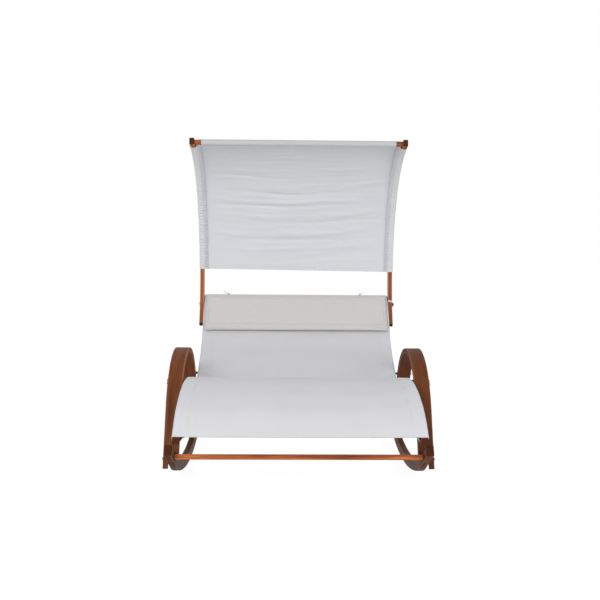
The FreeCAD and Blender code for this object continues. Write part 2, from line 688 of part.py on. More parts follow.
def roof_screw(grow=0.0):
    shank = cross_cylinder(SCREW_RADIUS + grow, ROOF_ARM_INNER_X - SCREW_DEPTH, ROOF_ARM_OUTER_X, roof_bar_point)
    head = cross_cylinder(SCREW_HEAD_RADIUS + grow, ROOF_ARM_OUTER_X - SCREW_HEAD_HEIGHT,
                          ROOF_ARM_OUTER_X, roof_bar_point)
    return shank.fuse(head)


def make_roof_bar():
    bar = cross_cylinder(ROOF_BAR_RADIUS, -ROOF_ARM_INNER_X, ROOF_ARM_INNER_X, roof_bar_point)
    for screw in both_sides(roof_screw(BOLT_CLEARANCE)):
        bar = bar.cut(screw)
    return bar


# The roof cloth sags between the arms and lies in shallow folds across
def roof_drop(share):
    belly = abs(math.sin(math.pi * share))
    fold = math.sin(2 * math.pi * ROOF_FOLD_COUNT * share) * belly
    return ROOF_SAG * belly + ROOF_FOLD * fold + ROOF_HEM_DROP * (1.0 - share) + SEAT_GAP / 3


def roof_section(distance, share, half, sheet_offset):
    def at(x, offset):
        return spot(x, roof_path.at(distance, sheet_offset + offset))
    drop = roof_drop(share)
    lower = Part.Arc(at(-half, 0), at(0, drop), at(half, 0)).toShape()
    upper = Part.Arc(at(half, FABRIC), at(0, drop + FABRIC), at(-half, FABRIC)).toShape()
    return Part.Wire([lower, Part.LineSegment(at(half, 0), at(half, FABRIC)).toShape(),
                      upper, Part.LineSegment(at(-half, FABRIC), at(-half, 0)).toShape()])


def make_roof_cloth():
    tube = ROOF_BAR_RADIUS + SEAT_GAP
    sheet_offset = roof_middle - tube - FABRIC
    first, last = ROOF_FABRIC_START, roof_bar_distance
    outer_x = ROOF_ARM_OUTER_X + SEAT_GAP + FABRIC
    inner_x = outer_x - ROOF_SLEEVE_WIDTH
    high = SEAT_GAP + FABRIC
    low = -ROOF_ARM_DEPTH - SEAT_GAP - FABRIC
    sleeve_last = last - ROOF_NOTCH_LENGTH
    half = inner_x + FABRIC / 2
    sections = []
    for index in range(ROOF_STATIONS):
        share = index / (ROOF_STATIONS - 1)
        sections.append(roof_section(first + share * (last - first), share, half, sheet_offset))
    sheet = Part.makeLoft(sections, True, False)
    notch = [Part.makeBox(2 * ROOF_NOTCH_WIDTH, 2 * ROOF_NOTCH_LENGTH, 6 * ROOF_BAR_RADIUS,
                          Vector(inner_x - ROOF_NOTCH_WIDTH / 2, -ROOF_NOTCH_LENGTH, -3 * ROOF_BAR_RADIUS))]
    notch[0].rotate(Vector(0, 0, 0), Vector(1, 0, 0), math.degrees(roof_path.heading(last)) - 180.0)
    notch[0].translate(Vector(0, roof_bar_point[0], roof_bar_point[1]))
    bar_room = cross_cylinder(ROOF_BAR_RADIUS + SEAT_GAP / 2, -ROOF_ARM_OUTER_X, ROOF_ARM_OUTER_X, roof_bar_point)
    sheet = sheet.cut(both_sides(notch[0]) + [bar_room])
    bar_tube = cross_tube(tube + FABRIC, tube, -(inner_x - ROOF_NOTCH_WIDTH / 2),
                          inner_x - ROOF_NOTCH_WIDTH / 2, roof_bar_point)
    walls = [strip(roof_path, low, high, outer_x - FABRIC, outer_x, first, sleeve_last),
             strip(roof_path, low, high, inner_x, inner_x + FABRIC, first, sleeve_last),
             strip(roof_path, low, low + FABRIC, inner_x, outer_x, first, sleeve_last),
             strip(roof_path, high - FABRIC, high, inner_x, outer_x, first, sleeve_last)]
    pieces = [bar_tube]
    for wall in walls:
        pieces += both_sides(wall)
    return sheet.fuse(pieces)


# A webbing band round the right arm, just above its pivot
def make_strap():
    place = ROOF_TAIL_LENGTH + STRAP_FROM_PIVOT
    first, last = place - STRAP_WIDTH / 2, place + STRAP_WIDTH / 2
    grow = STRAP_THICKNESS
    band = strip(roof_path, -ROOF_ARM_DEPTH - grow, grow, ROOF_ARM_INNER_X - grow,
                 ROOF_ARM_OUTER_X + grow, first, last)
    return band.cut(strip(roof_path, -ROOF_ARM_DEPTH, 0.0, ROOF_ARM_INNER_X, ROOF_ARM_OUTER_X,
                          first - 1, last + 1))


# Fasteners

def hoop_bolt(point):
    shank = cross_cylinder(BOLT_RADIUS, RAIL_INNER_X - NUT_HEIGHT - 1, HOOP_OUTER_X, point)
    head = cross_cylinder(BOLT_HEAD_RADIUS, HOOP_OUTER_X, HOOP_OUTER_X + BOLT_HEAD_HEIGHT, point)
    return shank.fuse(head)


def hoop_spacer(point):
    return cross_tube(SPACER_RADIUS, BOLT_RADIUS + BOLT_CLEARANCE, RAIL_OUTER_X, HOOP_INNER_X, point)


def hoop_nut(point):
    return cross_nut(RAIL_INNER_X - NUT_HEIGHT, RAIL_INNER_X, point)


# The front inner tine ends above the rocker, so the front nuts sit on the rocker itself
def fork_nut_face(point):
    return ROCKER_INNER_X if point is fork_points[0] else HOOP_INNER_X


def fork_bolt(point):
    shank = cross_cylinder(BOLT_RADIUS, fork_nut_face(point) - NUT_HEIGHT - 1, HOOP_OUTER_X, point)
    head = cross_cylinder(BOLT_HEAD_RADIUS, HOOP_OUTER_X, HOOP_OUTER_X + BOLT_HEAD_HEIGHT, point)
    return shank.fuse(head)


def fork_nut(point):
    return cross_nut(fork_nut_face(point) - NUT_HEIGHT, fork_nut_face(point), point)


def pivot_bolt(with_head):
    outer = ROOF_ARM_OUTER_X + RUNNING_GAP
    end = outer if with_head else outer + KNOB_LENGTH - 2.0
    shank = cross_cylinder(PIVOT_RADIUS, RAIL_INNER_X - PIVOT_HEAD_HEIGHT, end, pivot_point)
    inner = cross_cylinder(PIVOT_HEAD_RADIUS, RAIL_INNER_X - PIVOT_HEAD_HEIGHT, RAIL_INNER_X, pivot_point)
    parts = [inner]
    if with_head:
        parts.append(cross_cylinder(PIVOT_HEAD_RADIUS, outer, outer + PIVOT_HEAD_HEIGHT, pivot_point))
    return shank.fuse(parts)


def pivot_spacer():
    return cross_tube(PIVOT_WASHER_RADIUS, PIVOT_RADIUS + PIVOT_CLEARANCE, RAIL_OUTER_X,
                      ROOF_ARM_INNER_X - RUNNING_GAP, pivot_point)


def clamp_knob():
    start = ROOF_ARM_OUTER_X + RUNNING_GAP
    end = start + KNOB_LENGTH
    body = cross_cylinder(KNOB_RADIUS - KNOB_LOBE_RADIUS, start, end, pivot_point)
    lobes = []
    for index in range(KNOB_LOBES):
        angle = 2 * math.pi * index / KNOB_LOBES
        reach = KNOB_RADIUS - KNOB_LOBE_RADIUS
        centre = (pivot_point[0] + reach * math.cos(angle), pivot_point[1] + reach * math.sin(angle))
        lobes.append(cross_cylinder(KNOB_LOBE_RADIUS, start, end - 1.0, centre))
    body = body.fuse(lobes)
    return body.cut(cross_cylinder(PIVOT_RADIUS + PIVOT_CLEARANCE, start - 1, end - 1.5, pivot_point))


nodes = {}


def add_pair(name, shape):
    nodes["left_" + name] = [mirrored(shape)]
    nodes["right_" + name] = [shape]


add_pair("rocker", drill_rocker(make_rocker()))
add_pair("arm_hoop", make_hoop())
nodes["front_crossbar"] = [make_crossbar(front_bar_point)]
nodes["rear_crossbar"] = [make_crossbar(rear_bar_point)]
add_pair("seat_rail", make_rail())
nodes["head_crossbar"] = [make_head_bar()]
nodes["seat_stretcher"] = [make_stretcher()]
nodes["knee_crossbar"] = [make_knee_bar()]
nodes["seat_sling"] = [make_sling()]
nodes["headrest_pillow"] = [make_pillow()]
nodes["pillow_flap"] = [make_flap()]
nodes["pillow_ties"] = [make_tie(LEFT_TIE_X, LEFT_TIE_TAIL, -1), make_tie(RIGHT_TIE_X, RIGHT_TIE_TAIL, 1)]
nodes["front_hoop_bolts"] = [s for p in front_bolt_points for s in both_sides(hoop_bolt(p))]
nodes["rear_hoop_bolts"] = both_sides(hoop_bolt(rear_cross_point))
nodes["hoop_spacers"] = [s for p in hoop_bolt_points for s in both_sides(hoop_spacer(p))]
nodes["hoop_nuts"] = [s for p in hoop_bolt_points for s in both_sides(hoop_nut(p))]
nodes["fork_bolts"] = [s for p in fork_points for s in both_sides(fork_bolt(p))]
nodes["fork_nuts"] = [s for p in fork_points for s in both_sides(fork_nut(p))]
nodes["crossbar_screws"] = [s for p in (front_bar_point, rear_bar_point) for s in both_sides(crossbar_screw(p))]
nodes["head_screws"] = both_sides(head_screw())
nodes["rail_screws"] = [s for p in (stretcher_screw_point, knee_bar_point) for s in both_sides(rail_screw(p))]
nodes["left_pivot_bolt"] = [mirrored(pivot_bolt(True))]
nodes["right_pivot_bolt"] = [pivot_bolt(False)]
nodes["pivot_spacers"] = both_sides(pivot_spacer())
nodes["clamp_knob"] = [clamp_knob()]
add_pair("roof_arm", make_roof_arm())
nodes["roof_bar"] = [make_roof_bar()]
nodes["roof_cloth"] = [make_roof_cloth()]
nodes["roof_screws"] = both_sides(roof_screw())
nodes["arm_strap"] = [make_strap()]

# The chair rolls back on its rockers until its weight lies over the point that
# touches the floor, where each rocker is flat for a short way
def at_rest(shape):
    return shape.rotated(lean_centre, Vector(1, 0, 0), -REST_LEAN)


for name, solids in nodes.items():
    nodes[name] = [at_rest(shape) for shape in solids]
    if name.endswith("_rocker"):
        nodes[name] = [shape.cut(floor_slab) for shape in nodes[name]]

# The origin lies on the floor under the middle of the whole part
whole = FreeCAD.BoundBox()
for solids in nodes.values():
    for shape in solids:
        whole.add(shape.optimalBoundingBox(False))
to_origin = Vector(0, -0.5 * (whole.YMin + whole.YMax), 0)

os.makedirs("parts", exist_ok=True)
for name, solids in nodes.items():
    moved = []
    for shape in solids:
        moved += [solid.translated(to_origin) for solid in shape.Solids]
    out = moved[0] if len(moved) == 1 else Part.makeCompound(moved)
    out.exportStep("parts/" + name + ".step")


def final_place(point):
    spun = Part.Vertex(spot(0, point)).rotated(lean_centre, Vector(1, 0, 0), -REST_LEAN).Point + to_origin
    return round(spun.y, 3), round(spun.z, 3)


print("moved along y by", round(to_origin.y, 3), "floor contact at y", round(ROCKER_CONTACT_Y + to_origin.y, 3))
for label, point in (("pivot", pivot_point), ("front bolts", front_cross_point), ("rear bolt", rear_cross_point),
                     ("front fork", fork_points[0]), ("rear fork", fork_points[1]),
                     ("roof bar", roof_bar_point), ("head bar", head_bar_centre),
                     ("rocker start", rocker_path.at(0.0)), ("hoop start", hoop_path.at(0.0)),
                     ("hoop centre", hoop_centre), ("rail start", rail_path.at(0.0)),
                     ("roof arm start", roof_path.at(0.0))):
    print(label, final_place(point))
print("hoop legs", [round(run[3], 3) for run in hoop_path.runs])
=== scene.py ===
import bpy
import bmesh
import math
import numpy as np
from mathutils import Matrix, Vector, noise


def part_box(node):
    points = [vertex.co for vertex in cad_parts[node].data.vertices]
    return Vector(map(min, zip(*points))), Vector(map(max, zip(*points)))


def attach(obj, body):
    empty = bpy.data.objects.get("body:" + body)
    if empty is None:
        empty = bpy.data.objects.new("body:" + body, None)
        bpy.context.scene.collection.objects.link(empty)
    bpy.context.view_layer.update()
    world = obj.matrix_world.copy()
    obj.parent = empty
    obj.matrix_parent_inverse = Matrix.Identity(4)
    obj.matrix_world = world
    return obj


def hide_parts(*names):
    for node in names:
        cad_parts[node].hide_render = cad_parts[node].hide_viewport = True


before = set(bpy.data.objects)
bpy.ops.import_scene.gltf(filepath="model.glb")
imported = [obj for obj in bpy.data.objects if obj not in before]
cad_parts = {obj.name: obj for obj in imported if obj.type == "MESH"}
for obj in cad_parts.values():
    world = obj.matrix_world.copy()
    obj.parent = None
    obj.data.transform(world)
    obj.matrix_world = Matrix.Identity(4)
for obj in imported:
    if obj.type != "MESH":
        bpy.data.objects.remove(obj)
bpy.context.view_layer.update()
print("frame loaded,", len(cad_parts), "nodes")

lean = 3.64  # degrees that the chair rolls back on its rockers

# Camera: 4.4 metres in front of the chair's middle, above the pillow, looking slightly down
cameraSpec = {"place": (-0.08, -4.36672, 1.17788), "lens": 49.98, "sensor": 36.0,
              "yaw": -1.155, "roll": 0.34}
cameraData = bpy.data.cameras.new("camera")
cameraData.sensor_width = cameraSpec["sensor"]
cameraData.lens = cameraSpec["lens"]
cameraObject = bpy.data.objects.new("camera", cameraData)
bpy.context.scene.collection.objects.link(cameraObject)
cameraObject.matrix_world = (Matrix.Translation(cameraSpec["place"])
                             @ Matrix.Rotation(math.radians(-lean), 4, "X")
                             @ Matrix.Rotation(math.radians(cameraSpec["yaw"]), 4, "Z")
                             @ Matrix.Rotation(math.radians(90), 4, "X")
                             @ Matrix.Rotation(math.radians(cameraSpec["roll"]), 4, "Z"))
bpy.context.scene.camera = cameraObject


# A path in the side view, metres and degrees: runs of (y, z, angle, length, bend)
def makePath(start, heading, moves):
    y, z = start
    angle = math.radians(heading)
    runs = []
    for move in moves:
        length = move[1] if move[0] == "line" else move[1] * math.radians(abs(move[2]))
        bend = 0.0 if move[0] == "line" else math.copysign(1.0 / move[1], move[2])
        runs.append((y, z, angle, length, bend))
        y, z, angle = stepAlong(y, z, angle, length, bend)
    return runs


def stepAlong(y, z, angle, length, bend):
    if abs(bend) < 1e-9:
        return y + math.cos(angle) * length, z + math.sin(angle) * length, angle
    turned = angle + bend * length
    return (y + (math.sin(turned) - math.sin(angle)) / bend,
            z - (math.cos(turned) - math.cos(angle)) / bend, turned)


def pathLength(path):
    return sum(run[3] for run in path)


# Place and heading at a distance, moved to the left of the path by an offset
def pathAt(path, distance, offset=0.0):
    left = distance
    for index, (y, z, angle, length, bend) in enumerate(path):
        if left <= length or index == len(path) - 1:
            py, pz, pa = stepAlong(y, z, angle, left, bend)
            return py - math.sin(pa) * offset, pz + math.cos(pa) * offset, pa
        left -= length


railPath = makePath((-0.796308, 0.335408), 43.0 - lean,
                    [("line", 0.081), ("arc", 0.42, -16.0), ("arc", 0.917, -27.0), ("arc", 0.13, -50.0),
                     ("line", 0.09), ("arc", 0.15, 83.5), ("line", 0.405), ("arc", 0.33, 24.5),
                     ("line", 0.264)])
roofPath = makePath((0.673386, 0.708385), 71.6 - lean,
                    [("line", 0.044), ("arc", 0.742, 62.9), ("arc", 0.616, 42.3), ("line", 0.015)])
hoopPath = makePath((-0.451701, 0.123461), 71.4 - lean,
                    [("line", 0.291025), ("arc", 0.4, -125.0), ("line", 0.484245)])
rockerPath = makePath((-0.567952, 0.214554), -25.0 - lean,
                      [("line", 0.242), ("arc", 0.45, 14.5), ("arc", 1.9, 10.5), ("arc", 1.9, 15.5),
                       ("line", 0.07)])


def link(name, mesh):
    piece = bpy.data.objects.new(name, mesh)
    bpy.context.scene.collection.objects.link(piece)
    return piece


def smoothFaces(mesh, angle):
    mesh.polygons.foreach_set("use_smooth", [True] * len(mesh.polygons))
    mesh.set_sharp_from_angle(angle=math.radians(angle))


# Bake the modifiers of a piece into its mesh
def settle(piece):
    graph = bpy.context.evaluated_depsgraph_get()
    graph.update()
    mesh = bpy.data.meshes.new_from_object(piece.evaluated_get(graph), depsgraph=graph)
    piece.modifiers.clear()
    old = piece.data
    piece.data = mesh
    if old.users == 0 and isinstance(old, bpy.types.Mesh):
        bpy.data.meshes.remove(old)
    return piece


# Node helpers for the materials: each adds a node, wires its inputs and gives its output
def startMaterial(name):
    material = bpy.data.materials.new(name)
    material.use_nodes = True
    tree = material.node_tree
    return material, tree, tree.nodes["Principled BSDF"]


def addNode(tree, kind, x=0, y=0, **settings):
    node = tree.nodes.new(kind)
    node.location = (x, y)
    for key, value in settings.items():
        setattr(node, key, value)
    return node


def mathNode(tree, operation, first, second=None, x=0, y=0):
    node = addNode(tree, "ShaderNodeMath", x, y, operation=operation)
    for index, value in enumerate((first, second)):
        if value is None:
            continue
        if isinstance(value, (int, float)):
            node.inputs[index].default_value = value
        else:
            tree.links.new(value, node.inputs[index])
    return node.outputs[0]


def noiseNode(tree, vector, scale, detail=3.0, rough=0.5, x=0, y=0):
    node = addNode(tree, "ShaderNodeTexNoise", x, y)
    node.inputs["Scale"].default_value = scale
    node.inputs["Detail"].default_value = detail
    node.inputs["Roughness"].default_value = rough
    tree.links.new(vector, node.inputs["Vector"])
    return node.outputs["Fac"]


def rampNode(tree, factor, stops, x=0, y=0):
    node = addNode(tree, "ShaderNodeValToRGB", x, y)
    ramp = node.color_ramp
    while len(ramp.elements) < len(stops):
        ramp.elements.new(0.5)
    for element, (place, colour) in zip(ramp.elements, stops):
        element.position = place
        element.color = (*colour, 1.0)
    tree.links.new(factor, node.inputs["Fac"])
    return node.outputs["Color"]


def mixColour(tree, factor, first, second, blend="MIX", x=0, y=0):
    node = addNode(tree, "ShaderNodeMix", x, y, data_type="RGBA", blend_type=blend)
    for socket, value in ((node.inputs[0], factor), (node.inputs[6], first), (node.inputs[7], second)):
        if isinstance(value, (int, float)):
            socket.default_value = value
        elif isinstance(value, tuple):
            socket.default_value = (*value, 1.0)
        else:
            tree.links.new(value, socket)
    return node.outputs[2]


def bumpNode(tree, height, strength, distance, below=None, x=0, y=0):
    node = addNode(tree, "ShaderNodeBump", x, y)
    node.inputs["Strength"].default_value = strength
    node.inputs["Distance"].default_value = distance
    tree.links.new(height, node.inputs["Height"])
    if below is not None:
        tree.links.new(below, node.inputs["Normal"])
    return node.outputs["Normal"]


# Wood tones before each part's shade factor, with a light tone painted on the rounded edges as a highlight
# and a near black one painted at a roof arm's foot as shade; glue lines lie one ply apart
woodTone = {"light": (0.34, 0.105, 0.036), "middle": (0.150, 0.041, 0.014), "paintedEdgeLight": (0.62, 0.30, 0.16),
            "tipShade": (0.022, 0.013, 0.010), "glue": (0.55, 0.45, 0.38), "ply": 0.0031,
            "glueShift": 0.0015, "roughness": (0.45, 0.65)}
plain = (1.0, 1.0, 1.0)  # leaves the tone that it multiplies as it is


# Grain runs along the first coordinate. Bent strips carry theirs in the grain
# attribute: distance along the strip, depth in it, and place across it. Limits are
# the strip's sides and depths, which place the painted edge highlight, and the last
# argument is the length of the foot that is painted near black as shade.
def woodMaterial(name, source, shade=1.0, layered=False, limits=None, shadedTip=0.0):
    material, tree, shader = startMaterial(name)
    if source == "grain":
        vector = addNode(tree, "ShaderNodeAttribute", -1500, 0, attribute_name="grain").outputs["Vector"]
    else:
        vector = addNode(tree, "ShaderNodeTexCoord", -1500, 0).outputs["Object"]
    split = addNode(tree, "ShaderNodeSeparateXYZ", -1320, 0)
    tree.links.new(vector, split.inputs[0])
    depth = split.outputs[1] if source == "grain" else split.outputs[2]
    side = split.outputs[2] if source == "grain" else split.outputs[1]

    def stretched(along, across, x, y):
        join = addNode(tree, "ShaderNodeCombineXYZ", x, y)
        parts = ((split.outputs[0], along), (side, across), (depth, across))
        for index, (part, factor) in enumerate(parts):
            scaled = mathNode(tree, "MULTIPLY", part, factor, x - 160, y - 90 * index)
            tree.links.new(scaled, join.inputs[index])
        return join.outputs[0]

    broad = noiseNode(tree, stretched(1.6, 26.0, -980, 400), 1.0, 4.0, 0.55, -780, 400)
    streak = noiseNode(tree, stretched(9.0, 420.0, -980, 100), 1.0, 3.0, 0.6, -780, 100)
    pores = noiseNode(tree, stretched(45.0, 1500.0, -980, -200), 1.0, 2.0, 0.5, -780, -200)
    swirl = addNode(tree, "ShaderNodeTexWave", -780, -500, wave_type="RINGS", rings_direction="X")
    swirl.inputs["Scale"].default_value = 1.0
    swirl.inputs["Distortion"].default_value = 5.0
    swirl.inputs["Detail"].default_value = 2.0
    tree.links.new(stretched(1.1, 34.0, -980, -500), swirl.inputs["Vector"])

    def toned(key):
        return tuple(shade * value for value in woodTone[key])

    base = rampNode(tree, broad, [(0.28, toned("middle")), (0.52, toned("light")), (0.76, toned("middle"))],
                    -560, 400)
    lines = rampNode(tree, swirl.outputs["Fac"], [(0.0, (0.50, 0.42, 0.38)), (0.35, plain)], -560, -500)
    fine = rampNode(tree, streak, [(0.25, (0.60, 0.52, 0.48)), (0.55, plain), (0.8, (1.15, 1.13, 1.1))],
                    -560, 100)
    speck = rampNode(tree, pores, [(0.30, (0.45, 0.36, 0.30)), (0.42, plain)], -560, -200)
    colour = mixColour(tree, 0.55, base, lines, "MULTIPLY", -300, 300)
    colour = mixColour(tree, 0.8, colour, fine, "MULTIPLY", -140, 200)
    colour = mixColour(tree, 0.5, colour, speck, "MULTIPLY", 20, 100)
    if shadedTip:  # the foot of the roof arm is painted near black as shade
        past = mathNode(tree, "GREATER_THAN", split.outputs[0], shadedTip, -300, 620)
        colour = mixColour(tree, past, woodTone["tipShade"], colour, "MIX", 100, 560)
    if layered:  # glue lines between the bent layers show on the sides of the strip
        shifted = mathNode(tree, "ADD", depth, woodTone["glueShift"], -900, -800)
        share = mathNode(tree, "DIVIDE", shifted, woodTone["ply"], -740, -800)
        saw = mathNode(tree, "FRACT", share, None, -580, -800)
        glue = rampNode(tree, saw, [(0.0, woodTone["glue"]), (0.10, plain), (0.90, plain),
                                    (1.0, woodTone["glue"])], -420, -800)
        colour = mixColour(tree, 0.75, colour, glue, "MULTIPLY", 180, 0)
    if limits:  # the rounded edges are painted lighter as a highlight
        outward = mathNode(tree, "ABSOLUTE", side, None, -900, 900)
        off = []
        for part, (least, most) in ((outward, limits[0]), (depth, limits[1])):
            centred = mathNode(tree, "SUBTRACT", part, 0.5 * (least + most), -740, 900)
            centred = mathNode(tree, "ABSOLUTE", centred, None, -580, 900)
            off.append(mathNode(tree, "SUBTRACT", 0.5 * (most - least), centred, -420, 900))
        inside = mathNode(tree, "ADD", off[0], off[1], -260, 900)
        centimetres = mathNode(tree, "MULTIPLY", inside, 100.0, -100, 900)
        edgeLightMask = rampNode(tree, centimetres, [(0.24, (0.85,) * 3), (0.52, (0.0,) * 3)], 60, 900)
        edgeLightAmount = mathNode(tree, "MULTIPLY", edgeLightMask, mathNode(tree, "ADD", streak, 0.25, 60, 700), 220, 800)
        colour = mixColour(tree, edgeLightAmount, colour, toned("paintedEdgeLight"), "MIX", 340, 200)
    tree.links.new(colour, shader.inputs["Base Color"])
    low, high = woodTone["roughness"]
    rough = rampNode(tree, streak, [(0.2, (high,) * 3), (0.8, (low,) * 3)], -300, -100)
    tree.links.new(rough, shader.inputs["Roughness"])
    height = mathNode(tree, "ADD", mathNode(tree, "MULTIPLY", streak, 0.6, -300, -300),
                      mathNode(tree, "MULTIPLY", pores, 0.5, -300, -420), -140, -340)
    tree.links.new(bumpNode(tree, height, 0.35, 0.0004, None, 20, -300), shader.inputs["Normal"])
    shader.inputs["Specular IOR Level"].default_value = 0.10
    return material


# Cut ends: dark, partly the end grain's own colour and partly painted shade, with short growth rings and open
# pores
def endGrainMaterial(name):
    material, tree, shader = startMaterial(name)
    place = addNode(tree, "ShaderNodeTexCoord", -900, 0).outputs["Object"]
    rings = addNode(tree, "ShaderNodeTexWave", -680, 200, wave_type="RINGS", rings_direction="SPHERICAL")
    rings.inputs["Scale"].default_value = 95.0
    rings.inputs["Distortion"].default_value = 3.0
    tree.links.new(place, rings.inputs["Vector"])
    spots = noiseNode(tree, place, 900.0, 2.0, 0.6, -680, -100)
    base = rampNode(tree, rings.outputs["Fac"], [(0.1, (0.055, 0.018, 0.009)), (0.8, (0.115, 0.036, 0.016))],
                    -460, 200)
    pits = rampNode(tree, spots, [(0.35, (0.35, 0.30, 0.28)), (0.55, plain)], -460, -100)
    tree.links.new(mixColour(tree, 0.8, base, pits, "MULTIPLY", -220, 100), shader.inputs["Base Color"])
    tree.links.new(bumpNode(tree, spots, 0.4, 0.0003, None, -220, -200), shader.inputs["Normal"])
    shader.inputs["Roughness"].default_value = 0.8
    shader.inputs["Specular IOR Level"].default_value = 0.05
    return material


woodEnd = endGrainMaterial("woodEndGrain")


# Faces square to the grain, within endRun of an end, are cut ends
bentSpec = {"samples": 900, "weld": 2e-6, "endRun": 0.03, "endSquare": 0.85, "crease": 28}


# A bent strip keeps its solid's shape; each point learns where it lies in the wood
def bentStrip(name, node, path, material, body):
    total = pathLength(path)
    stops = np.linspace(0.0, total, bentSpec["samples"])
    places = np.array([pathAt(path, stop) for stop in stops])
    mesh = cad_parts[node].data.copy()
    mesh.name = name
    work = bmesh.new()
    work.from_mesh(mesh)
    bmesh.ops.remove_doubles(work, verts=work.verts, dist=bentSpec["weld"])
    work.to_mesh(mesh)
    work.free()
    spots = np.array([v.co for v in mesh.vertices])
    grain = np.zeros((len(spots), 3))
    for index, (x, y, z) in enumerate(spots):
        near = int(np.argmin((places[:, 0] - y) ** 2 + (places[:, 1] - z) ** 2))
        py, pz, angle = places[near]
        ahead = (y - py) * math.cos(angle) + (z - pz) * math.sin(angle)
        depth = -(y - py) * math.sin(angle) + (z - pz) * math.cos(angle)
        grain[index] = (stops[near] + ahead, depth, x)
    attribute = mesh.attributes.new("grain", "FLOAT_VECTOR", "POINT")
    attribute.data.foreach_set("vector", grain.astype(np.float32).ravel())
    mesh.materials.clear()
    mesh.materials.append(material)
    mesh.materials.append(woodEnd)
    for face in mesh.polygons:
        along = sum(grain[v][0] for v in face.vertices) / len(face.vertices)
        angle = pathAt(path, min(max(along, 0.0), total))[2]
        square = abs(face.normal.y * math.cos(angle) + face.normal.z * math.sin(angle))
        atEnd = along < bentSpec["endRun"] or along > total - bentSpec["endRun"]
        face.material_index = 1 if square > bentSpec["endSquare"] and atEnd else 0
    smoothFaces(mesh, bentSpec["crease"])
    piece = link(name, mesh)
    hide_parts(node)
    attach(piece, body)


# How far each kind of strip lies below and above its path
stripDepth = {"arm_hoop": (-0.025, 0.0), "seat_rail": (-0.032, 0.0), "roof_arm": (-0.036, 0.0),
              "rocker": (0.0, 0.048)}
shadedTipLength = 0.008  # length of the foot of a roof arm that is painted near black as shade

# Each strip's shade is partly the tone of its own board and partly painted light and shade: the right hoop,
# right roof arm and left rocker are painted darker as shade, the left roof arm lighter as a highlight
stripSpec = {
    "leftHoop": ("left_arm_hoop", hoopPath, 0.60, "frame"),
    "rightHoop": ("right_arm_hoop", hoopPath, 0.44, "frame"),
    "leftRocker": ("left_rocker", rockerPath, 0.36, "frame"),
    "rightRocker": ("right_rocker", rockerPath, 0.50, "frame"),
    "leftRail": ("left_seat_rail", railPath, 0.50, "frame"),
    "rightRail": ("right_seat_rail", railPath, 0.50, "frame"),
    "leftRoofArm": ("left_roof_arm", roofPath, 1.25, "roof"),
    "rightRoofArm": ("right_roof_arm", roofPath, 0.90, "roof"),
}
for name, (node, path, shade, body) in stripSpec.items():
    least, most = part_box(node)
    across = sorted((abs(least[0]), abs(most[0])))
    depths = stripDepth[node[node.index("_") + 1:]]
    shadedTip = shadedTipLength if path is roofPath else 0.0
    wood = woodMaterial(name + "Wood", "grain", shade, True, (across, depths), shadedTip)
    bentStrip(name, node, path, wood, body)
print("bent strips done")


# Turned bars and the board keep their solids, with the grain along the width
# The front crossbar's shade of 2.25 is painted light: it is brightened as if lit from the front
barSpec = {"front_crossbar": 2.25, "rear_crossbar": 1.0, "head_crossbar": 0.9, "knee_crossbar": 0.9,
           "seat_stretcher": 0.85, "roof_bar": 1.18}
for node, shade in barSpec.items():
    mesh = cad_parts[node].data
    mesh.materials.clear()
    mesh.materials.append(woodMaterial(node + "Wood", "object", shade))
print("bars done")


# Over and under weave, laid out by a piece's cloth coordinates in metres, with a faint
# variation between the colour and its tint
def clothMaterial(name, colour, pitch, weaveDepth, see=1.0, tint=(0.93, 0.93, 0.94), mottle=7.0):
    material, tree, shader = startMaterial(name)
    cloth = addNode(tree, "ShaderNodeAttribute", -1300, 0, attribute_name="cloth").outputs["Vector"]
    split = addNode(tree, "ShaderNodeSeparateXYZ", -1120, 0)
    tree.links.new(cloth, split.inputs[0])
    threads = []
    cells = []
    for index in (0, 1):
        scaled = mathNode(tree, "DIVIDE", split.outputs[index], pitch, -940, -220 * index)
        wave = mathNode(tree, "SINE", mathNode(tree, "MULTIPLY", scaled, math.pi, -780, -220 * index), None,
                        -620, -220 * index)
        threads.append(mathNode(tree, "ABSOLUTE", wave, None, -460, -220 * index))
        cells.append(mathNode(tree, "FLOOR", scaled, None, -780, -100 - 220 * index))
    cell = mathNode(tree, "ADD", cells[0], cells[1], -620, -500)
    parity = mathNode(tree, "PINGPONG", cell, 1.0, -460, -500)
    over = mathNode(tree, "MULTIPLY", threads[0], parity, -300, 0)
    flipped = mathNode(tree, "SUBTRACT", 1.0, parity, -300, -500)
    under = mathNode(tree, "MULTIPLY", threads[1], flipped, -300, -220)
    weave = mathNode(tree, "ADD", over, under, -140, -100)
    place = addNode(tree, "ShaderNodeTexCoord", -1300, 500).outputs["Object"]
    blotch = noiseNode(tree, place, mottle, 3.0, 0.55, -700, 500)
    slub = noiseNode(tree, place, 160.0, 2.0, 0.5, -700, 800)
    base = mixColour(tree, blotch, tuple(c * t for c, t in zip(colour, tint)), colour, "MIX", -300, 500)
    shaded = rampNode(tree, weave, [(0.0, (0.78, 0.78, 0.79)), (0.45, plain)], 20, 100)
    base = mixColour(tree, 0.6, base, shaded, "MULTIPLY", 200, 300)
    tree.links.new(base, shader.inputs["Base Color"])
    soft = bumpNode(tree, slub, 0.25, 0.0006, None, 20, -500)
    tree.links.new(bumpNode(tree, weave, 0.5, weaveDepth, soft, 200, -300), shader.inputs["Normal"])
    shader.inputs["Roughness"].default_value = 0.85
    shader.inputs["Sheen Weight"].default_value = 0.12
    shader.inputs["Sheen Roughness"].default_value = 0.5
    shader.inputs["Alpha"].default_value = see
    return material


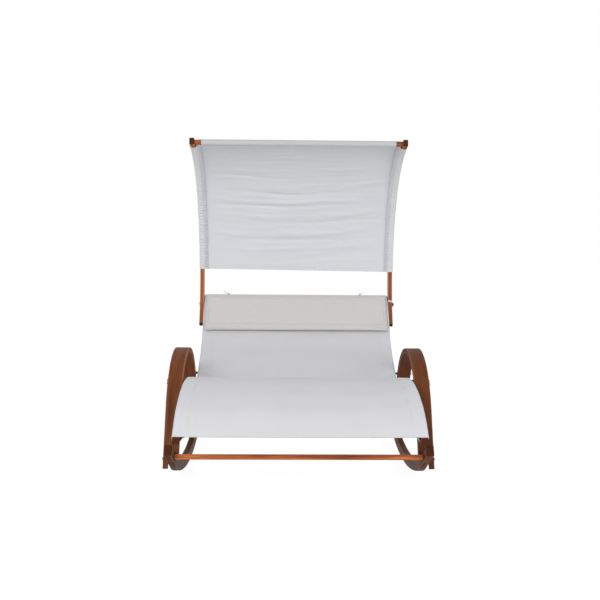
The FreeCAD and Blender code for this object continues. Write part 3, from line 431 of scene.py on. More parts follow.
meshWeave, canvasWeave = (0.0016, 0.0004), (0.0007, 0.0002)  # pitch and depth of the threads
bandTint = (0.93, 0.935, 0.94)
slingCloth = clothMaterial("slingMesh", (0.675, 0.675, 0.685), *meshWeave, 0.94)
slingSide = clothMaterial("slingSleeve", (0.630, 0.642, 0.668), *meshWeave)
pillowCloth = clothMaterial("pillowWeave", (0.61, 0.60, 0.585), 0.0011, 0.0003, 1.0, (0.96, 0.955, 0.945))
canopyCloth = clothMaterial("canopyCanvas", (0.68, 0.69, 0.72), *canvasWeave, 1.0, (0.95, 0.955, 0.96), 4.0)
canopyBand = clothMaterial("canopySleeve", (0.66, 0.665, 0.685), *canvasWeave, 1.0, bandTint, 4.0)
canopyTop = clothMaterial("canopyBarSleeve", (0.50, 0.505, 0.515), *canvasWeave, 1.0, bandTint, 4.0)
threadCloth = clothMaterial("sewingThread", (0.66, 0.66, 0.66), 0.0005, 0.0001)


# A quad sheet from a grid of points; its UV map named cloth holds flat distances in metres
def gridMesh(name, rows, material, closeAcross=False):
    count = len(rows[0])
    mesh = bpy.data.meshes.new(name)
    verts = [p for row in rows for p in row]
    faces = []
    across = count if closeAcross else count - 1
    for r in range(len(rows) - 1):
        for c in range(across):
            a, b = r * count + c, r * count + (c + 1) % count
            faces.append((a, b, b + count, a + count))
    mesh.from_pydata(verts, [], faces)
    flatU = np.zeros((len(rows), count + 1))
    flatV = np.zeros((len(rows), count + 1))
    for r, row in enumerate(rows):
        for c in range(1, count + 1):
            flatU[r, c] = flatU[r, c - 1] + (Vector(row[c % count]) - Vector(row[c - 1])).length
        middle = flatU[r, count - 1] / 2
        flatU[r] -= middle
        if r:
            step = (Vector(row[count // 2]) - Vector(rows[r - 1][count // 2])).length
            flatV[r] = flatV[r - 1] + step
    layer = mesh.uv_layers.new(name="cloth")
    for face in mesh.polygons:
        r, c = divmod(face.index, across)
        for corner, (dr, dc) in zip(face.loop_indices, ((0, 0), (0, 1), (1, 1), (1, 0))):
            layer.data[corner].uv = (flatU[r + dr, c + dc], flatV[r + dr, c + dc])
    mesh.materials.append(material)
    return mesh


# A cloth piece from rows of points, which lie in the middle of its thickness
def clothPiece(name, rows, material, thickness, closeAcross=False):
    piece = link(name, gridMesh(name, rows, material, closeAcross))
    solid = piece.modifiers.new("thick", "SOLIDIFY")
    solid.thickness = thickness
    solid.offset = 0.0
    settle(piece)
    work = bmesh.new()
    work.from_mesh(piece.data)
    bmesh.ops.recalc_face_normals(work, faces=work.faces)
    work.to_mesh(piece.data)
    work.free()
    smoothFaces(piece.data, 50)
    return piece


def span(first, last, count):
    return [first + (last - first) * k / (count - 1) for k in range(count)]


# Sling: the sheet runs over both rails from the foot hem to the head bar and
# turns round that bar; a sleeve on each side holds a rail
slingSpec = {"outer": 0.5618, "inner": 0.503, "band": 0.4975, "top": 0.0013, "bottom": -0.0335, "dip": 0.007,
             "cloth": 0.0016, "sleeveCloth": 0.0014, "hemCloth": 0.0012, "railInner": 0.5265, "corner": 0.008,
             "start": 0.022, "hem": 0.052, "rows": 240, "lift": 0.011, "barRadius": 0.016, "halfTurn": 0.0503,
             "turnDown": 0.055}
railTotal = pathLength(railPath)
headTurn = makePath(pathAt(railPath, railTotal)[:2], math.degrees(pathAt(railPath, railTotal)[2]),
                    [("line", slingSpec["lift"]), ("arc", slingSpec["barRadius"], -180.0), ("line", 0.1)])


def slingDip(x, distance):
    share = min(1.0, abs(x) / slingSpec["inner"])
    ends = math.sin(math.pi * min(1.0, max(0.0, distance / railTotal))) ** 0.5
    return slingSpec["dip"] * (1.0 - share ** 2) * ends


def slingPoint(x, distance, offset):
    if distance <= railTotal:
        y, z, angle = pathAt(railPath, distance, offset)
    else:
        y, z, angle = pathAt(headTurn, distance - railTotal, offset)
    return (x, y, z)


slingEnd = railTotal + slingSpec["lift"] + slingSpec["halfTurn"] + slingSpec["turnDown"]
slingStops = span(slingSpec["start"], railTotal, slingSpec["rows"])
slingStops += span(railTotal + 0.004, slingEnd, 26)
slingAcross = [-slingSpec["outer"] + 0.004 * k for k in range(4)]
slingAcross += span(-slingSpec["inner"], slingSpec["inner"], 61)
slingAcross += [-x for x in reversed(slingAcross[:4])]


# The sheet rolls over the rails' outer corners
def cornerDrop(x):
    corner = slingSpec["corner"]
    past = max(0.0, abs(x) - (slingSpec["outer"] - corner))
    return corner - math.sqrt(max(0.0, corner ** 2 - past ** 2))


slingRows = []
for stop in slingStops:
    row = []
    for x in slingAcross:
        ripple = 0.0006 * math.sin(stop * 41.0 + 3.0 * noise.noise(Vector((x * 2.0, stop * 3.0, 0.4))))
        offset = slingSpec["top"] - slingDip(x, stop) + ripple - cornerDrop(x)
        row.append(slingPoint(x, stop, offset))
    slingRows.append(row)
slingSheet = clothPiece("slingSheet", slingRows, slingCloth, slingSpec["cloth"])
slingSheet.data.materials.append(slingSide)  # the doubled bands over the rails
for face in slingSheet.data.polygons:
    face.material_index = 1 if abs(face.center.x) > slingSpec["band"] else 0
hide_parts("seat_sling")

for side, label in ((-1, "Left"), (1, "Right")):
    outer, bottom, railInner = slingSpec["outer"], slingSpec["bottom"], slingSpec["railInner"]
    ring = [(outer - 0.0004, -0.004), (outer + 0.0002, -0.009), (outer + 0.0002, -0.018), (outer, -0.028),
            (outer - 0.0015, -0.0325), (outer - 0.006, bottom), (0.545, bottom), (0.533, bottom),
            (railInner, -0.031), (railInner - 0.004, -0.024), (railInner - 0.012, -0.011),
            (slingSpec["inner"], -0.0025)]
    rows = []
    for stop in span(slingSpec["start"] + 0.001, railTotal - 0.002, 200):
        pucker = 0.0007 * math.sin(stop * 260.0 + side) * noise.noise(Vector((stop * 9.0, side, 2.0)))
        rows.append([slingPoint(side * (x + pucker), stop, offset) for x, offset in ring])
    sleeve = clothPiece("slingSleeve" + label, rows, slingSide, slingSpec["sleeveCloth"])
    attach(sleeve, "frame")

# A doubled band at the foot
foot = []
for stop in span(slingSpec["start"] - 0.0006, slingSpec["hem"], 12):
    foot.append([slingPoint(x, max(stop, 0.0), slingSpec["top"] - slingDip(x, stop) - cornerDrop(x) - 0.0021)
                 for x in span(-slingSpec["inner"] + 0.004, slingSpec["inner"] - 0.004, 41)])
footHem = clothPiece("footHem", foot, slingSide, slingSpec["hemCloth"])
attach(footHem, "frame")
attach(slingSheet, "frame")
print("sling done")


# Head pillow: the flat pad is blown up as cloth, then laid along the rails
pillowSpec = {"half": 0.547, "height": 0.244, "crown": 0.039, "start": 0.026, "off": 0.0034,
              "voxel": 0.0055, "frames": 20, "quality": 5, "mass": 0.25, "stretch": 12, "bend": 0.3,
              "pressure": 4.0, "cap": 0.012}
pillowChannels = ((0.0045, 0.155, 0.022), (0.0030, 0.90, 0.016), (0.0026, 0.965, 0.012))


# A closed pad in flat coordinates: x across, y up the rails, z off the sling
def flatPad(half, height, depth):
    mesh = bpy.data.meshes.new("pad")
    work = bmesh.new()
    bmesh.ops.create_cube(work, size=1.0)
    for vert in work.verts:
        vert.co = Vector((vert.co.x * 2 * half, (vert.co.y + 0.5) * height, (vert.co.z + 0.5) * depth))
    bmesh.ops.bevel(work, geom=list(work.edges), offset=0.45 * depth, segments=3, affect="EDGES", profile=0.6)
    work.to_mesh(mesh)
    work.free()
    return mesh


def blowUp(piece, spec):
    mesher = piece.modifiers.new("even", "REMESH")
    mesher.mode = "VOXEL"
    mesher.voxel_size = spec["voxel"]
    settle(piece)
    before = np.array([v.co for v in piece.data.vertices])
    cloth = piece.modifiers.new("cloth", "CLOTH")
    cloth.settings.quality = spec["quality"]
    cloth.settings.mass = spec["mass"]
    cloth.settings.tension_stiffness = spec["stretch"]
    cloth.settings.compression_stiffness = spec["stretch"]
    cloth.settings.bending_stiffness = spec["bend"]
    cloth.settings.use_pressure = True
    cloth.settings.uniform_pressure_force = spec["pressure"]
    cloth.settings.effector_weights.gravity = 0.0
    cloth.point_cache.frame_start = 1
    cloth.point_cache.frame_end = spec["frames"]
    for step in range(1, spec["frames"] + 1):
        bpy.context.scene.frame_set(step)
    settle(piece)
    bpy.context.scene.frame_set(1)
    after = np.array([v.co for v in piece.data.vertices])
    move = after - before
    far = np.linalg.norm(move, axis=1)
    scale = np.minimum(1.0, spec["cap"] / np.maximum(far, 1e-9))
    print("pillow blown up, largest move", round(float(far.max()), 4))
    return before + move * scale[:, None]


pad = flatPad(pillowSpec["half"] - 0.006, pillowSpec["height"] - 0.012, pillowSpec["start"])
pillow = link("pillow", pad)
points = blowUp(pillow, pillowSpec)
low = points.min(axis=0)
high = points.max(axis=0)
points[:, 0] *= pillowSpec["half"] / max(-low[0], high[0])
points[:, 1] = (points[:, 1] - low[1]) * pillowSpec["height"] / (high[1] - low[1])
points[:, 2] = (points[:, 2] - low[2]) * pillowSpec["crown"] / (high[2] - low[2])
pillow.data.vertices.foreach_set("co", points.astype(np.float32).ravel())
finer = pillow.modifiers.new("finer", "SUBSURF")
finer.levels = 1
finer.render_levels = 1
settle(pillow)
spots = np.array([v.co for v in pillow.data.vertices])
padTop = railTotal - pillowSpec["height"]


# Sewn lines and slack folds, as depths off the blown-up face
def pillowFold(x, up):
    share = up / pillowSpec["height"]
    side = pillowSpec["half"] - abs(x)
    deep = 0.0
    for depth, line, width in pillowChannels:
        deep += depth * math.exp(-((share - line) / width) ** 2)
    deep += 0.0034 * math.exp(-((side - 0.018) / 0.0035) ** 2) * min(1.0, max(0.0, (share - 0.16) * 20))
    slack = 0.0030 * noise.noise(Vector((x * 2.6, up * 9.0, 0.3)))
    gathered = math.exp(-((share - 0.17) / 0.07) ** 2)
    slack += 0.0022 * noise.noise(Vector((x * 30.0, up * 10.0, 1.7))) * gathered
    slack += 0.0016 * noise.noise(Vector((x * 8.0, up * 34.0, 4.1)))
    slack += 0.0022 * noise.noise(Vector((x * 26.0, up * 26.0, 6.2))) * math.exp(-(side / 0.05) ** 2)
    return slack - deep


laid = np.zeros_like(spots)
for index, (x, up, deep) in enumerate(spots):
    face = max(0.0, min(1.0, (deep / pillowSpec["crown"] - 0.35) / 0.4))
    raised = deep + face * pillowFold(x, up)
    y, z, heading = pathAt(railPath, padTop + up, pillowSpec["off"] + max(raised, 0.0))
    laid[index] = (x, y, z)
pillow.data.vertices.foreach_set("co", laid.astype(np.float32).ravel())
attribute = pillow.data.attributes.new("cloth", "FLOAT_VECTOR", "POINT")
attribute.data.foreach_set("vector", spots.astype(np.float32).ravel())
pillow.data.materials.clear()
pillow.data.materials.append(pillowCloth)
smoothFaces(pillow.data, 60)
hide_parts("headrest_pillow")
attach(pillow, "frame")

# The flap lies over the head bar and hangs behind it
flapSpec = {"half": 0.547, "front": 0.006, "behind": 0.128, "offset": 0.0031, "cloth": 0.0009}
flapPath = makePath(pathAt(railPath, railTotal - flapSpec["front"], flapSpec["offset"])[:2],
                    math.degrees(pathAt(railPath, railTotal)[2]),
                    [("line", flapSpec["front"] + 0.011), ("arc", 0.016 + flapSpec["offset"], -180.0),
                     ("line", 0.011 + flapSpec["behind"])])
flapRows = []
for stop in span(0.0, pathLength(flapPath), 54):
    share = max(0.0, stop - 0.09) / (pathLength(flapPath) - 0.09)
    row = []
    for x in span(-flapSpec["half"], flapSpec["half"], 91):
        wave = share * (0.004 * math.sin(x * 23.0) + 0.003 * math.sin(x * 51.0 + 1.0) + 0.005)
        y, z, heading = pathAt(flapPath, stop, wave)
        row.append((x, y, z))
    flapRows.append(row)
flap = clothPiece("pillowFlap", flapRows, pillowCloth, flapSpec["cloth"])
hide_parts("pillow_flap")
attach(flap, "frame")
print("pillow done")


# Canopy cloth: one sheet between the arms, a sleeve on each arm and one on the bar
canopySpec = {"start": 0.336, "bar": 0.026, "depth": 0.036, "armOuter": 0.5895, "sleeve": 0.049,
              "ease": 0.0022, "cloth": 0.0011, "sleeveCloth": 0.0009, "hemCloth": 0.0010, "sag": 0.024,
              "skew": 0.006, "notch": 0.030, "pucker": {"Left": 0.0024, "Right": 0.0013}}
roofTotal = pathLength(roofPath)
barStop = roofTotal - canopySpec["bar"]
sheetHalf = canopySpec["armOuter"] + canopySpec["ease"] - canopySpec["sleeve"]
# Each fold: its place up the sheet as a share, its droop, width and depth
foldSpec = [(0.045, 0.02, 0.016, 0.0040), (0.10, 0.03, 0.020, -0.0060), (0.165, 0.035, 0.016, 0.0065),
            (0.215, 0.03, 0.013, -0.0060), (0.265, 0.04, 0.018, 0.0070), (0.325, 0.03, 0.014, -0.0080),
            (0.375, 0.03, 0.018, 0.0070), (0.43, 0.025, 0.012, -0.0075), (0.475, 0.03, 0.017, 0.0065),
            (0.535, 0.02, 0.013, -0.0075), (0.585, 0.02, 0.014, 0.0050), (0.64, 0.015, 0.012, -0.0040),
            (0.70, 0.015, 0.012, 0.0025), (0.76, 0.01, 0.010, -0.0020), (0.82, 0.01, 0.012, 0.0015)]


# Folds hang between the arms: each one is lowest in the middle of the sheet
def foldDepth(u, share):
    total = 0.0
    for place, droop, width, depth in foldSpec:
        wander = 0.030 * noise.noise(Vector((u * 1.6, place * 31.0, 0.5)))
        line = place + wander - droop * (1.0 - u * u) + 0.030 * u * (1.0 - place)
        fade = 0.50 + 0.95 * noise.noise(Vector((u * 1.9, place * 23.0, 2.5)))
        total += depth * max(0.0, fade) * math.exp(-((share - line) / width) ** 2)
    total += 0.0020 * noise.noise(Vector((u * 2.6, share * 40.0, 7.0)))
    total += 0.0009 * noise.noise(Vector((u * 5.0, share * 95.0, 3.0)))
    return total * math.sin(math.pi * min(1.0, share * 1.04)) ** 0.35 if share < 0.96 else 0.0


def canopyOffset(x, share):
    u = x / sheetHalf
    crown = math.sin(math.pi * share) if share < 1 else 0.0
    sag = canopySpec["sag"] * crown * (1.0 - u * u)
    return -0.0337 + sag + foldDepth(u, share) * (1.0 - abs(u) ** 5) + 0.003 * (1.0 - share) * (1.0 - u * u)


# A point at x across and a share up the sheet, lifted off it
def canopyPoint(x, share, lift=0.0):
    skewed = canopySpec["skew"] * (1.0 - share) * x / sheetHalf
    stop = canopySpec["start"] + share * (barStop - canopySpec["start"]) - skewed
    y, z, heading = pathAt(roofPath, stop, canopyOffset(x, share) + lift)
    return (x, y, z)


canopyRows = [[canopyPoint(x, share) for x in span(-sheetHalf, sheetHalf, 101)]
              for share in span(0.0, 1.0, 190)]
canopy = clothPiece("canopySheet", canopyRows, canopyCloth, canopySpec["cloth"])
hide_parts("roof_cloth")
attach(canopy, "roof")

for side, label in ((-1, "Left"), (1, "Right")):
    ease = canopySpec["ease"]
    outer, inner = canopySpec["armOuter"] + ease, sheetHalf
    ring = [(inner, -0.033), (inner + 0.003, -0.0365), (inner + 0.013, -0.0385), (outer - 0.012, -0.0385),
            (outer - 0.003, -0.0372), (outer, -0.033), (outer, -0.018), (outer, -0.003),
            (outer - 0.003, 0.0014), (outer - 0.010, 0.0030), (outer - 0.020, 0.0034),
            (outer - 0.0285, 0.0026), (outer - 0.034, -0.003), (outer - 0.039, -0.012),
            (inner + 0.005, -0.022), (inner + 0.0005, -0.030)]
    depth = canopySpec["pucker"][label]
    rows = []
    for stop in span(canopySpec["start"], barStop - canopySpec["notch"], 460):
        row = []
        for index, (x, offset) in enumerate(ring):
            drift = noise.noise(Vector((stop * 11.0, index * 0.15, 5.0 * side)))
            run = stop * 340.0 + index * 0.5 + 4.0 * drift
            gather = 0.6 + 0.7 * abs(noise.noise(Vector((stop * 9.0, index * 0.2, side))))
            shown = 1.0 if 8 <= index <= 14 else 0.2
            wrinkle = depth * math.sin(run) * gather * shown
            skewed = canopySpec["skew"] * max(0.0, 1.0 - (stop - canopySpec["start"]) / 0.9)
            y, z, heading = pathAt(roofPath, stop - side * skewed, offset + wrinkle)
            row.append((side * (x - 0.5 * wrinkle * (12 <= index <= 14)), y, z))
        rows.append(row if side > 0 else row[::-1])
    sleeve = clothPiece("canopySleeve" + label, rows, canopyBand, canopySpec["sleeveCloth"], True)
    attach(sleeve, "roof")

barY, barZ = pathAt(roofPath, barStop, -canopySpec["depth"] / 2)[:2]
rows = []
for x in span(-sheetHalf + 0.016, sheetHalf - 0.016, 121):
    row = []
    for k in range(28):
        angle = 2 * math.pi * k / 28
        reach = 0.0160 + 0.0008 * noise.noise(Vector((x * 14.0, math.cos(angle), math.sin(angle))))
        row.append((x, barY + reach * math.cos(angle), barZ + reach * math.sin(angle)))
    rows.append(row)
topHem = clothPiece("canopyTopHem", rows, canopyTop, canopySpec["sleeveCloth"], True)
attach(topHem, "roof")

rows = [[canopyPoint(x, share, 0.0016) for x in span(-sheetHalf + 0.004, sheetHalf - 0.004, 101)]
        for share in span(0.0, 0.022, 6)]
lowerHem = clothPiece("canopyLowerHem", rows, canopyCloth, canopySpec["hemCloth"])
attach(lowerHem, "roof")
print("canopy done")


# Sewing: Geometry Nodes lay short threads along each seam
def stitchTree(material):
    tree = bpy.data.node_groups.new("stitchRow", "GeometryNodeTree")
    tree.interface.new_socket("Geometry", in_out="INPUT", socket_type="NodeSocketGeometry")
    pitch = tree.interface.new_socket("Pitch", in_out="INPUT", socket_type="NodeSocketFloat")
    length = tree.interface.new_socket("Thread length", in_out="INPUT", socket_type="NodeSocketFloat")
    radius = tree.interface.new_socket("Thread radius", in_out="INPUT", socket_type="NodeSocketFloat")
    tree.interface.new_socket("Geometry", in_out="OUTPUT", socket_type="NodeSocketGeometry")
    pitch.default_value, length.default_value, radius.default_value = 0.005, 0.0036, 0.0006
    add = tree.nodes.new
    start = add("NodeGroupInput")
    end = add("NodeGroupOutput")
    toCurve = add("GeometryNodeMeshToCurve")
    even = add("GeometryNodeResampleCurve")
    even.mode = "LENGTH"
    thread = add("GeometryNodeMeshUVSphere")
    thread.inputs["Segments"].default_value = 6
    thread.inputs["Rings"].default_value = 4
    thread.inputs["Radius"].default_value = 1.0
    size = add("ShaderNodeCombineXYZ")
    halve = add("ShaderNodeMath")
    halve.operation = "MULTIPLY"
    halve.inputs[1].default_value = 0.5
    tangent = add("GeometryNodeInputTangent")
    turn = add("FunctionNodeAlignRotationToVector")
    turn.axis = "Z"
    copies = add("GeometryNodeInstanceOnPoints")
    real = add("GeometryNodeRealizeInstances")
    paint = add("GeometryNodeSetMaterial")
    paint.inputs["Material"].default_value = material
    wire = tree.links.new
    wire(start.outputs[0], toCurve.inputs["Mesh"])
    wire(toCurve.outputs["Curve"], even.inputs["Curve"])
    wire(start.outputs[1], even.inputs["Length"])
    wire(even.outputs["Curve"], copies.inputs["Points"])
    wire(thread.outputs["Mesh"], copies.inputs["Instance"])
    wire(start.outputs[2], halve.inputs[0])
    wire(start.outputs[3], size.inputs[0])
    wire(start.outputs[3], size.inputs[1])
    wire(halve.outputs[0], size.inputs[2])
    wire(tangent.outputs[0], turn.inputs["Vector"])
    wire(turn.outputs[0], copies.inputs["Rotation"])
    wire(size.outputs[0], copies.inputs["Scale"])
    wire(copies.outputs["Instances"], real.inputs["Geometry"])
    wire(real.outputs["Geometry"], paint.inputs["Geometry"])
    wire(paint.outputs["Geometry"], end.inputs[0])
    return tree, pitch.identifier, length.identifier, radius.identifier


stitchNodes, pitchId, lengthId, radiusId = stitchTree(threadCloth)


def sewRows(name, lines, body, pitch=0.0055, length=0.0042, radius=0.00055):
    mesh = bpy.data.meshes.new(name)
    verts = []
    edges = []
    for line in lines:
        first = len(verts)
        verts += line
        edges += [(first + k, first + k + 1) for k in range(len(line) - 1)]
    mesh.from_pydata(verts, edges, [])
    piece = link(name, mesh)
    modifier = piece.modifiers.new("stitches", "NODES")
    modifier.node_group = stitchNodes
    modifier[pitchId] = pitch
    modifier[lengthId] = length
    modifier[radiusId] = radius
    settle(piece)
    piece.data.uv_layers.new(name="cloth")
    smoothFaces(piece.data, 80)
    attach(piece, body)


seamSpec = {"bands": (-0.5, -0.4955, 0.4955, 0.5), "hem": (0.028, 0.049), "half": 0.552, "lift": 0.0009}


def slingSeamPoint(x, stop):
    return slingPoint(x, stop, slingSpec["top"] - slingDip(x, stop) + seamSpec["lift"])


slingSeams = [[slingSeamPoint(x, stop) for stop in slingStops[:slingSpec["rows"]]]
              for x in seamSpec["bands"]]
slingSeams += [[slingSeamPoint(x, stop) for x in span(-seamSpec["half"], seamSpec["half"], 80)]
               for stop in seamSpec["hem"]]
sewRows("slingStitches", slingSeams, "frame")

canopySeams = []
for side in (-1, 1):
    for inset in (0.0025, 0.0065):
        x = side * (sheetHalf - inset)
        canopySeams.append([canopyPoint(x, share, 0.0007) for share in span(0.0, 0.965, 120)])
for share, lift in ((0.019, 0.0022), (0.955, 0.0007)):
    canopySeams.append([canopyPoint(x, share, lift)
                        for x in span(-sheetHalf + 0.006, sheetHalf - 0.006, 101)])
sewRows("canopyStitches", canopySeams, "roof")


# Pillow seams run over its face a little above the surface
def pillowFace(x, up):
    near = int(np.argmin((spots[:, 0] - x) ** 2 + (spots[:, 1] - up) ** 2 - spots[:, 2] * 0.002))
    return tuple(Vector(laid[near]) + Vector((0.0, -0.0005, 0.0004)))


seamHalf = pillowSpec["half"] - 0.02
pillowSeams = [[pillowFace(x, share * pillowSpec["height"]) for x in span(-seamHalf, seamHalf, 110)]
               for share in (0.145, 0.905)]
sewRows("pillowStitches", pillowSeams, "frame", 0.006, 0.0045, 0.0005)
print("sewing done")


# Dark steel of the bolts and screws, with grime in its tone
def steelMaterial(name, colour, roughness):
    material, tree, shader = startMaterial(name)
    place = addNode(tree, "ShaderNodeTexCoord", -900, 0).outputs["Object"]
    grime = noiseNode(tree, place, 160.0, 4.0, 0.6, -680, 100)
    scratch = noiseNode(tree, place, 900.0, 2.0, 0.5, -680, -200)
    dull, bright = (tuple(factor * part for part in colour) for factor in (0.7, 1.4))
    tone = rampNode(tree, grime, [(0.3, dull), (0.7, bright)], -440, 100)
    tree.links.new(tone, shader.inputs["Base Color"])
    rough = rampNode(tree, grime, [(0.3, (roughness,) * 3), (0.8, (roughness + 0.2,) * 3)], -440, -100)
    tree.links.new(rough, shader.inputs["Roughness"])
    tree.links.new(bumpNode(tree, scratch, 0.2, 0.0002, None, -200, -300), shader.inputs["Normal"])
    shader.inputs["Metallic"].default_value = 0.75
    return material


darkSteel = steelMaterial("darkSteel", (0.055, 0.045, 0.038), 0.38)
for node in ("front_hoop_bolts", "rear_hoop_bolts", "hoop_spacers", "hoop_nuts", "fork_bolts", "fork_nuts",
             "crossbar_screws", "head_screws", "rail_screws", "left_pivot_bolt", "right_pivot_bolt",
             "pivot_spacers", "roof_screws"):
    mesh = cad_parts[node].data
    mesh.materials.clear()
    mesh.materials.append(darkSteel)

knobPlastic, tree, shader = startMaterial("knobPlastic")
place = addNode(tree, "ShaderNodeTexCoord", -900, 0).outputs["Object"]
pebble = noiseNode(tree, place, 1400.0, 2.0, 0.5, -680, 0)
tone = rampNode(tree, pebble, [(0.3, (0.018, 0.018, 0.019)), (0.7, (0.040, 0.040, 0.042))], -440, 100)
tree.links.new(tone, shader.inputs["Base Color"])
tree.links.new(bumpNode(tree, pebble, 0.4, 0.0002, None, -440, -200), shader.inputs["Normal"])
shader.inputs["Roughness"].default_value = 0.55
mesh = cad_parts["clamp_knob"].data
mesh.materials.clear()
mesh.materials.append(knobPlastic)

# Webbing strap wound once round the right arm, a little aslant
strapSpec = {"stop": 0.150, "width": 0.012, "thick": 0.0012, "slant": 0.010, "inner": 0.5635,
             "outer": 0.5895, "armDepth": 0.036, "gap": 0.0008, "sideGap": 0.0002, "corner": 0.003}
webbing = clothMaterial("strapWebbing", (0.56, 0.56, 0.565), 0.0012, 0.0004)
corner = strapSpec["corner"]
band = []
low, high = -strapSpec["armDepth"] - strapSpec["gap"], strapSpec["gap"]
inX, outX = strapSpec["inner"] - strapSpec["sideGap"], strapSpec["outer"] + strapSpec["sideGap"]
for cx, co, first in ((outX - corner, high - corner, 0), (inX + corner, high - corner, 90),
                      (inX + corner, low + corner, 180), (outX - corner, low + corner, 270)):
    for k in range(6):
        angle = math.radians(first + 18 * k)
        band.append((cx + corner * math.cos(angle), co + corner * math.sin(angle)))
rows = []
for edge in span(-strapSpec["width"] / 2, strapSpec["width"] / 2, 5):
    row = []
    for x, offset in band:
        slant = strapSpec["slant"] * (x - inX) / (outX - inX) - strapSpec["slant"] / 2
        y, z, heading = pathAt(roofPath, strapSpec["stop"] + edge - slant * 0.5, offset)
        row.append((x, y, z))
    rows.append(row)
strap = clothPiece("armStrap", rows, webbing, strapSpec["thick"], True)
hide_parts("arm_strap")
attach(strap, "roof")

# Tie cords: a small overhand knot on the flap with a short loose end
# Each tie: its place across, the way its tail points, and the tail's length
tieSpec = {"Left": (-0.417, -1, 0.026), "Right": (0.394, 1, 0.012)}
tieRadius = 0.0015
headY, headZ = pathAt(railPath, railTotal, -slingSpec["barRadius"])[:2]
headAngle = pathAt(railPath, railTotal)[2]
headY += slingSpec["lift"] * math.cos(headAngle)
headZ += slingSpec["lift"] * math.sin(headAngle)
work = bmesh.new()
for label, (x, way, tail) in tieSpec.items():
    knot = bpy.data.curves.new("tie" + label, "CURVE")
    knot.dimensions = "3D"
    knot.bevel_depth = tieRadius
    knot.bevel_resolution = 3
    spline = knot.splines.new("NURBS")
    top = headZ + 0.0198 + tieRadius
    points = [(x - way * 0.010, headY - 0.012, top - 0.0035), (x - way * 0.006, headY - 0.006, top + 0.0005)]
    for k in range(14):
        angle = 2 * math.pi * k / 6.5
        points.append((x + way * (0.0006 * k - 0.004), headY + 0.0030 * math.cos(angle),
                       top + 0.0032 + 0.0030 * math.sin(angle)))
    points += [(x + way * 0.008, headY, top + 0.006),
               (x + way * (0.008 + 0.45 * tail), headY - 0.001, top + 0.010),
               (x + way * (0.008 + 0.85 * tail), headY, top + 0.006 + 0.5 * tail)]
    spline.points.add(len(points) - 1)
    for point, place in zip(spline.points, points):
        point.co = (*place, 1.0)
    spline.order_u = 3
    spline.use_endpoint_u = True
    spline.resolution_u = 4
    tie = link("tie" + label, knot)
    graph = bpy.context.evaluated_depsgraph_get()
    graph.update()
    mesh = bpy.data.meshes.new_from_object(tie.evaluated_get(graph), depsgraph=graph)
    bpy.data.objects.remove(tie)
    work.from_mesh(mesh)
bmesh.ops.holes_fill(work, edges=[e for e in work.edges if e.is_boundary], sides=0)
bmesh.ops.recalc_face_normals(work, faces=work.faces)
tieMesh = bpy.data.meshes.new("pillowTies")
work.to_mesh(tieMesh)
work.free()
tieMesh.materials.clear()
tieMesh.materials.append(clothMaterial("tieCord", (0.42, 0.41, 0.40), 0.0012, 0.0004))
if not tieMesh.uv_layers:
    tieMesh.uv_layers.new(name="cloth")
tieMesh.uv_layers[0].name = "cloth"
smoothFaces(tieMesh, 70)
ties = link("pillowTies", tieMesh)
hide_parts("pillow_ties")
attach(ties, "frame")
print("small parts done")


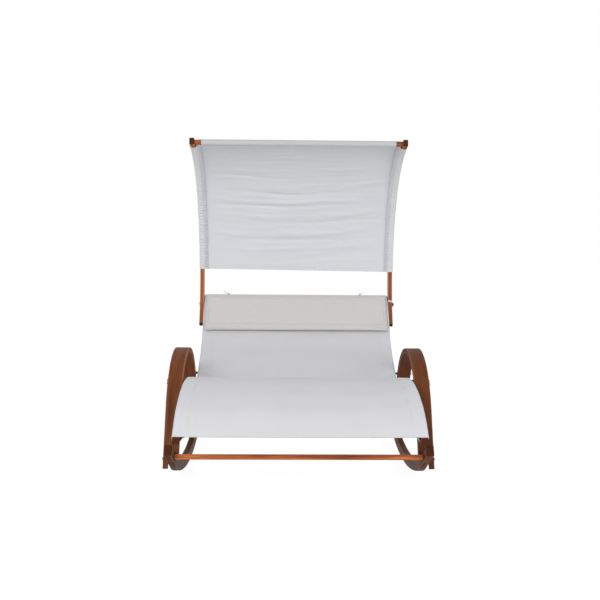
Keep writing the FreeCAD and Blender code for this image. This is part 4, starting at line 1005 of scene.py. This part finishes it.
# Floor, background and light; each lamp has its place, target, size and power
stageSpec = {"floor": 14.0, "world": 0.64, "glow": 1.15, "share": 0.80}
lampSpec = {"keyLamp": ((-1.9, -3.9, 2.7), (0.0, 0.0, 0.7), (2.4, 2.0), 84.0),
            "fillLamp": ((2.7, -3.4, 1.6), (0.0, 0.1, 0.9), (2.2, 1.8), 46.0)}
mesh = bpy.data.meshes.new("floor")
reach = stageSpec["floor"]
corners = [(-reach, -reach, 0), (reach, -reach, 0), (reach, reach, 0), (-reach, reach, 0)]
mesh.from_pydata(corners, [], [(0, 1, 2, 3)])
floor = link("floor", mesh)
floorWhite, tree, shader = startMaterial("floorWhite")
shader.inputs["Base Color"].default_value = (0.86, 0.86, 0.86, 1.0)
shader.inputs["Roughness"].default_value = 0.9
output = tree.nodes["Material Output"]
rays = addNode(tree, "ShaderNodeLightPath", -500, 300)
glow = addNode(tree, "ShaderNodeEmission", -200, 300)
glow.inputs["Strength"].default_value = stageSpec["glow"]
share = mathNode(tree, "MAXIMUM", rays.outputs["Is Camera Ray"], rays.outputs["Is Glossy Ray"], -300, 500)
share = mathNode(tree, "MAXIMUM", share, rays.outputs["Is Transmission Ray"], -200, 600)
share = mathNode(tree, "MULTIPLY", share, stageSpec["share"], -60, 500)
mixed = addNode(tree, "ShaderNodeMixShader", 200, 200)
tree.links.new(share, mixed.inputs[0])
tree.links.new(shader.outputs[0], mixed.inputs[1])
tree.links.new(glow.outputs[0], mixed.inputs[2])
tree.links.new(mixed.outputs[0], output.inputs["Surface"])
mesh.materials.append(floorWhite)

world = bpy.data.worlds.new("studio")
bpy.context.scene.world = world
world.use_nodes = True
tree = world.node_tree
back = tree.nodes["Background"]
back.inputs["Color"].default_value = (1.0, 1.0, 1.0, 1.0)
rays = addNode(tree, "ShaderNodeLightPath", -600, 200)
seen = mathNode(tree, "MAXIMUM", rays.outputs["Is Camera Ray"], rays.outputs["Is Glossy Ray"], -400, 200)
seen = mathNode(tree, "MAXIMUM", seen, rays.outputs["Is Transmission Ray"], -300, 100)
strength = mathNode(tree, "ADD", mathNode(tree, "MULTIPLY", seen, 1.0 - stageSpec["world"], -200, 200),
                    stageSpec["world"], -60, 200)
tree.links.new(strength, back.inputs["Strength"])

for name, (place, target, size, power) in lampSpec.items():
    lamp = bpy.data.lights.new(name, "AREA")
    lamp.shape = "RECTANGLE"
    lamp.size, lamp.size_y = size
    lamp.energy = power
    piece = bpy.data.objects.new(name, lamp)
    bpy.context.scene.collection.objects.link(piece)
    piece.location = place
    piece.rotation_euler = (Vector(target) - Vector(place)).to_track_quat("-Z", "Y").to_euler()
bpy.context.scene.view_settings.view_transform = "Standard"
print("stage done")
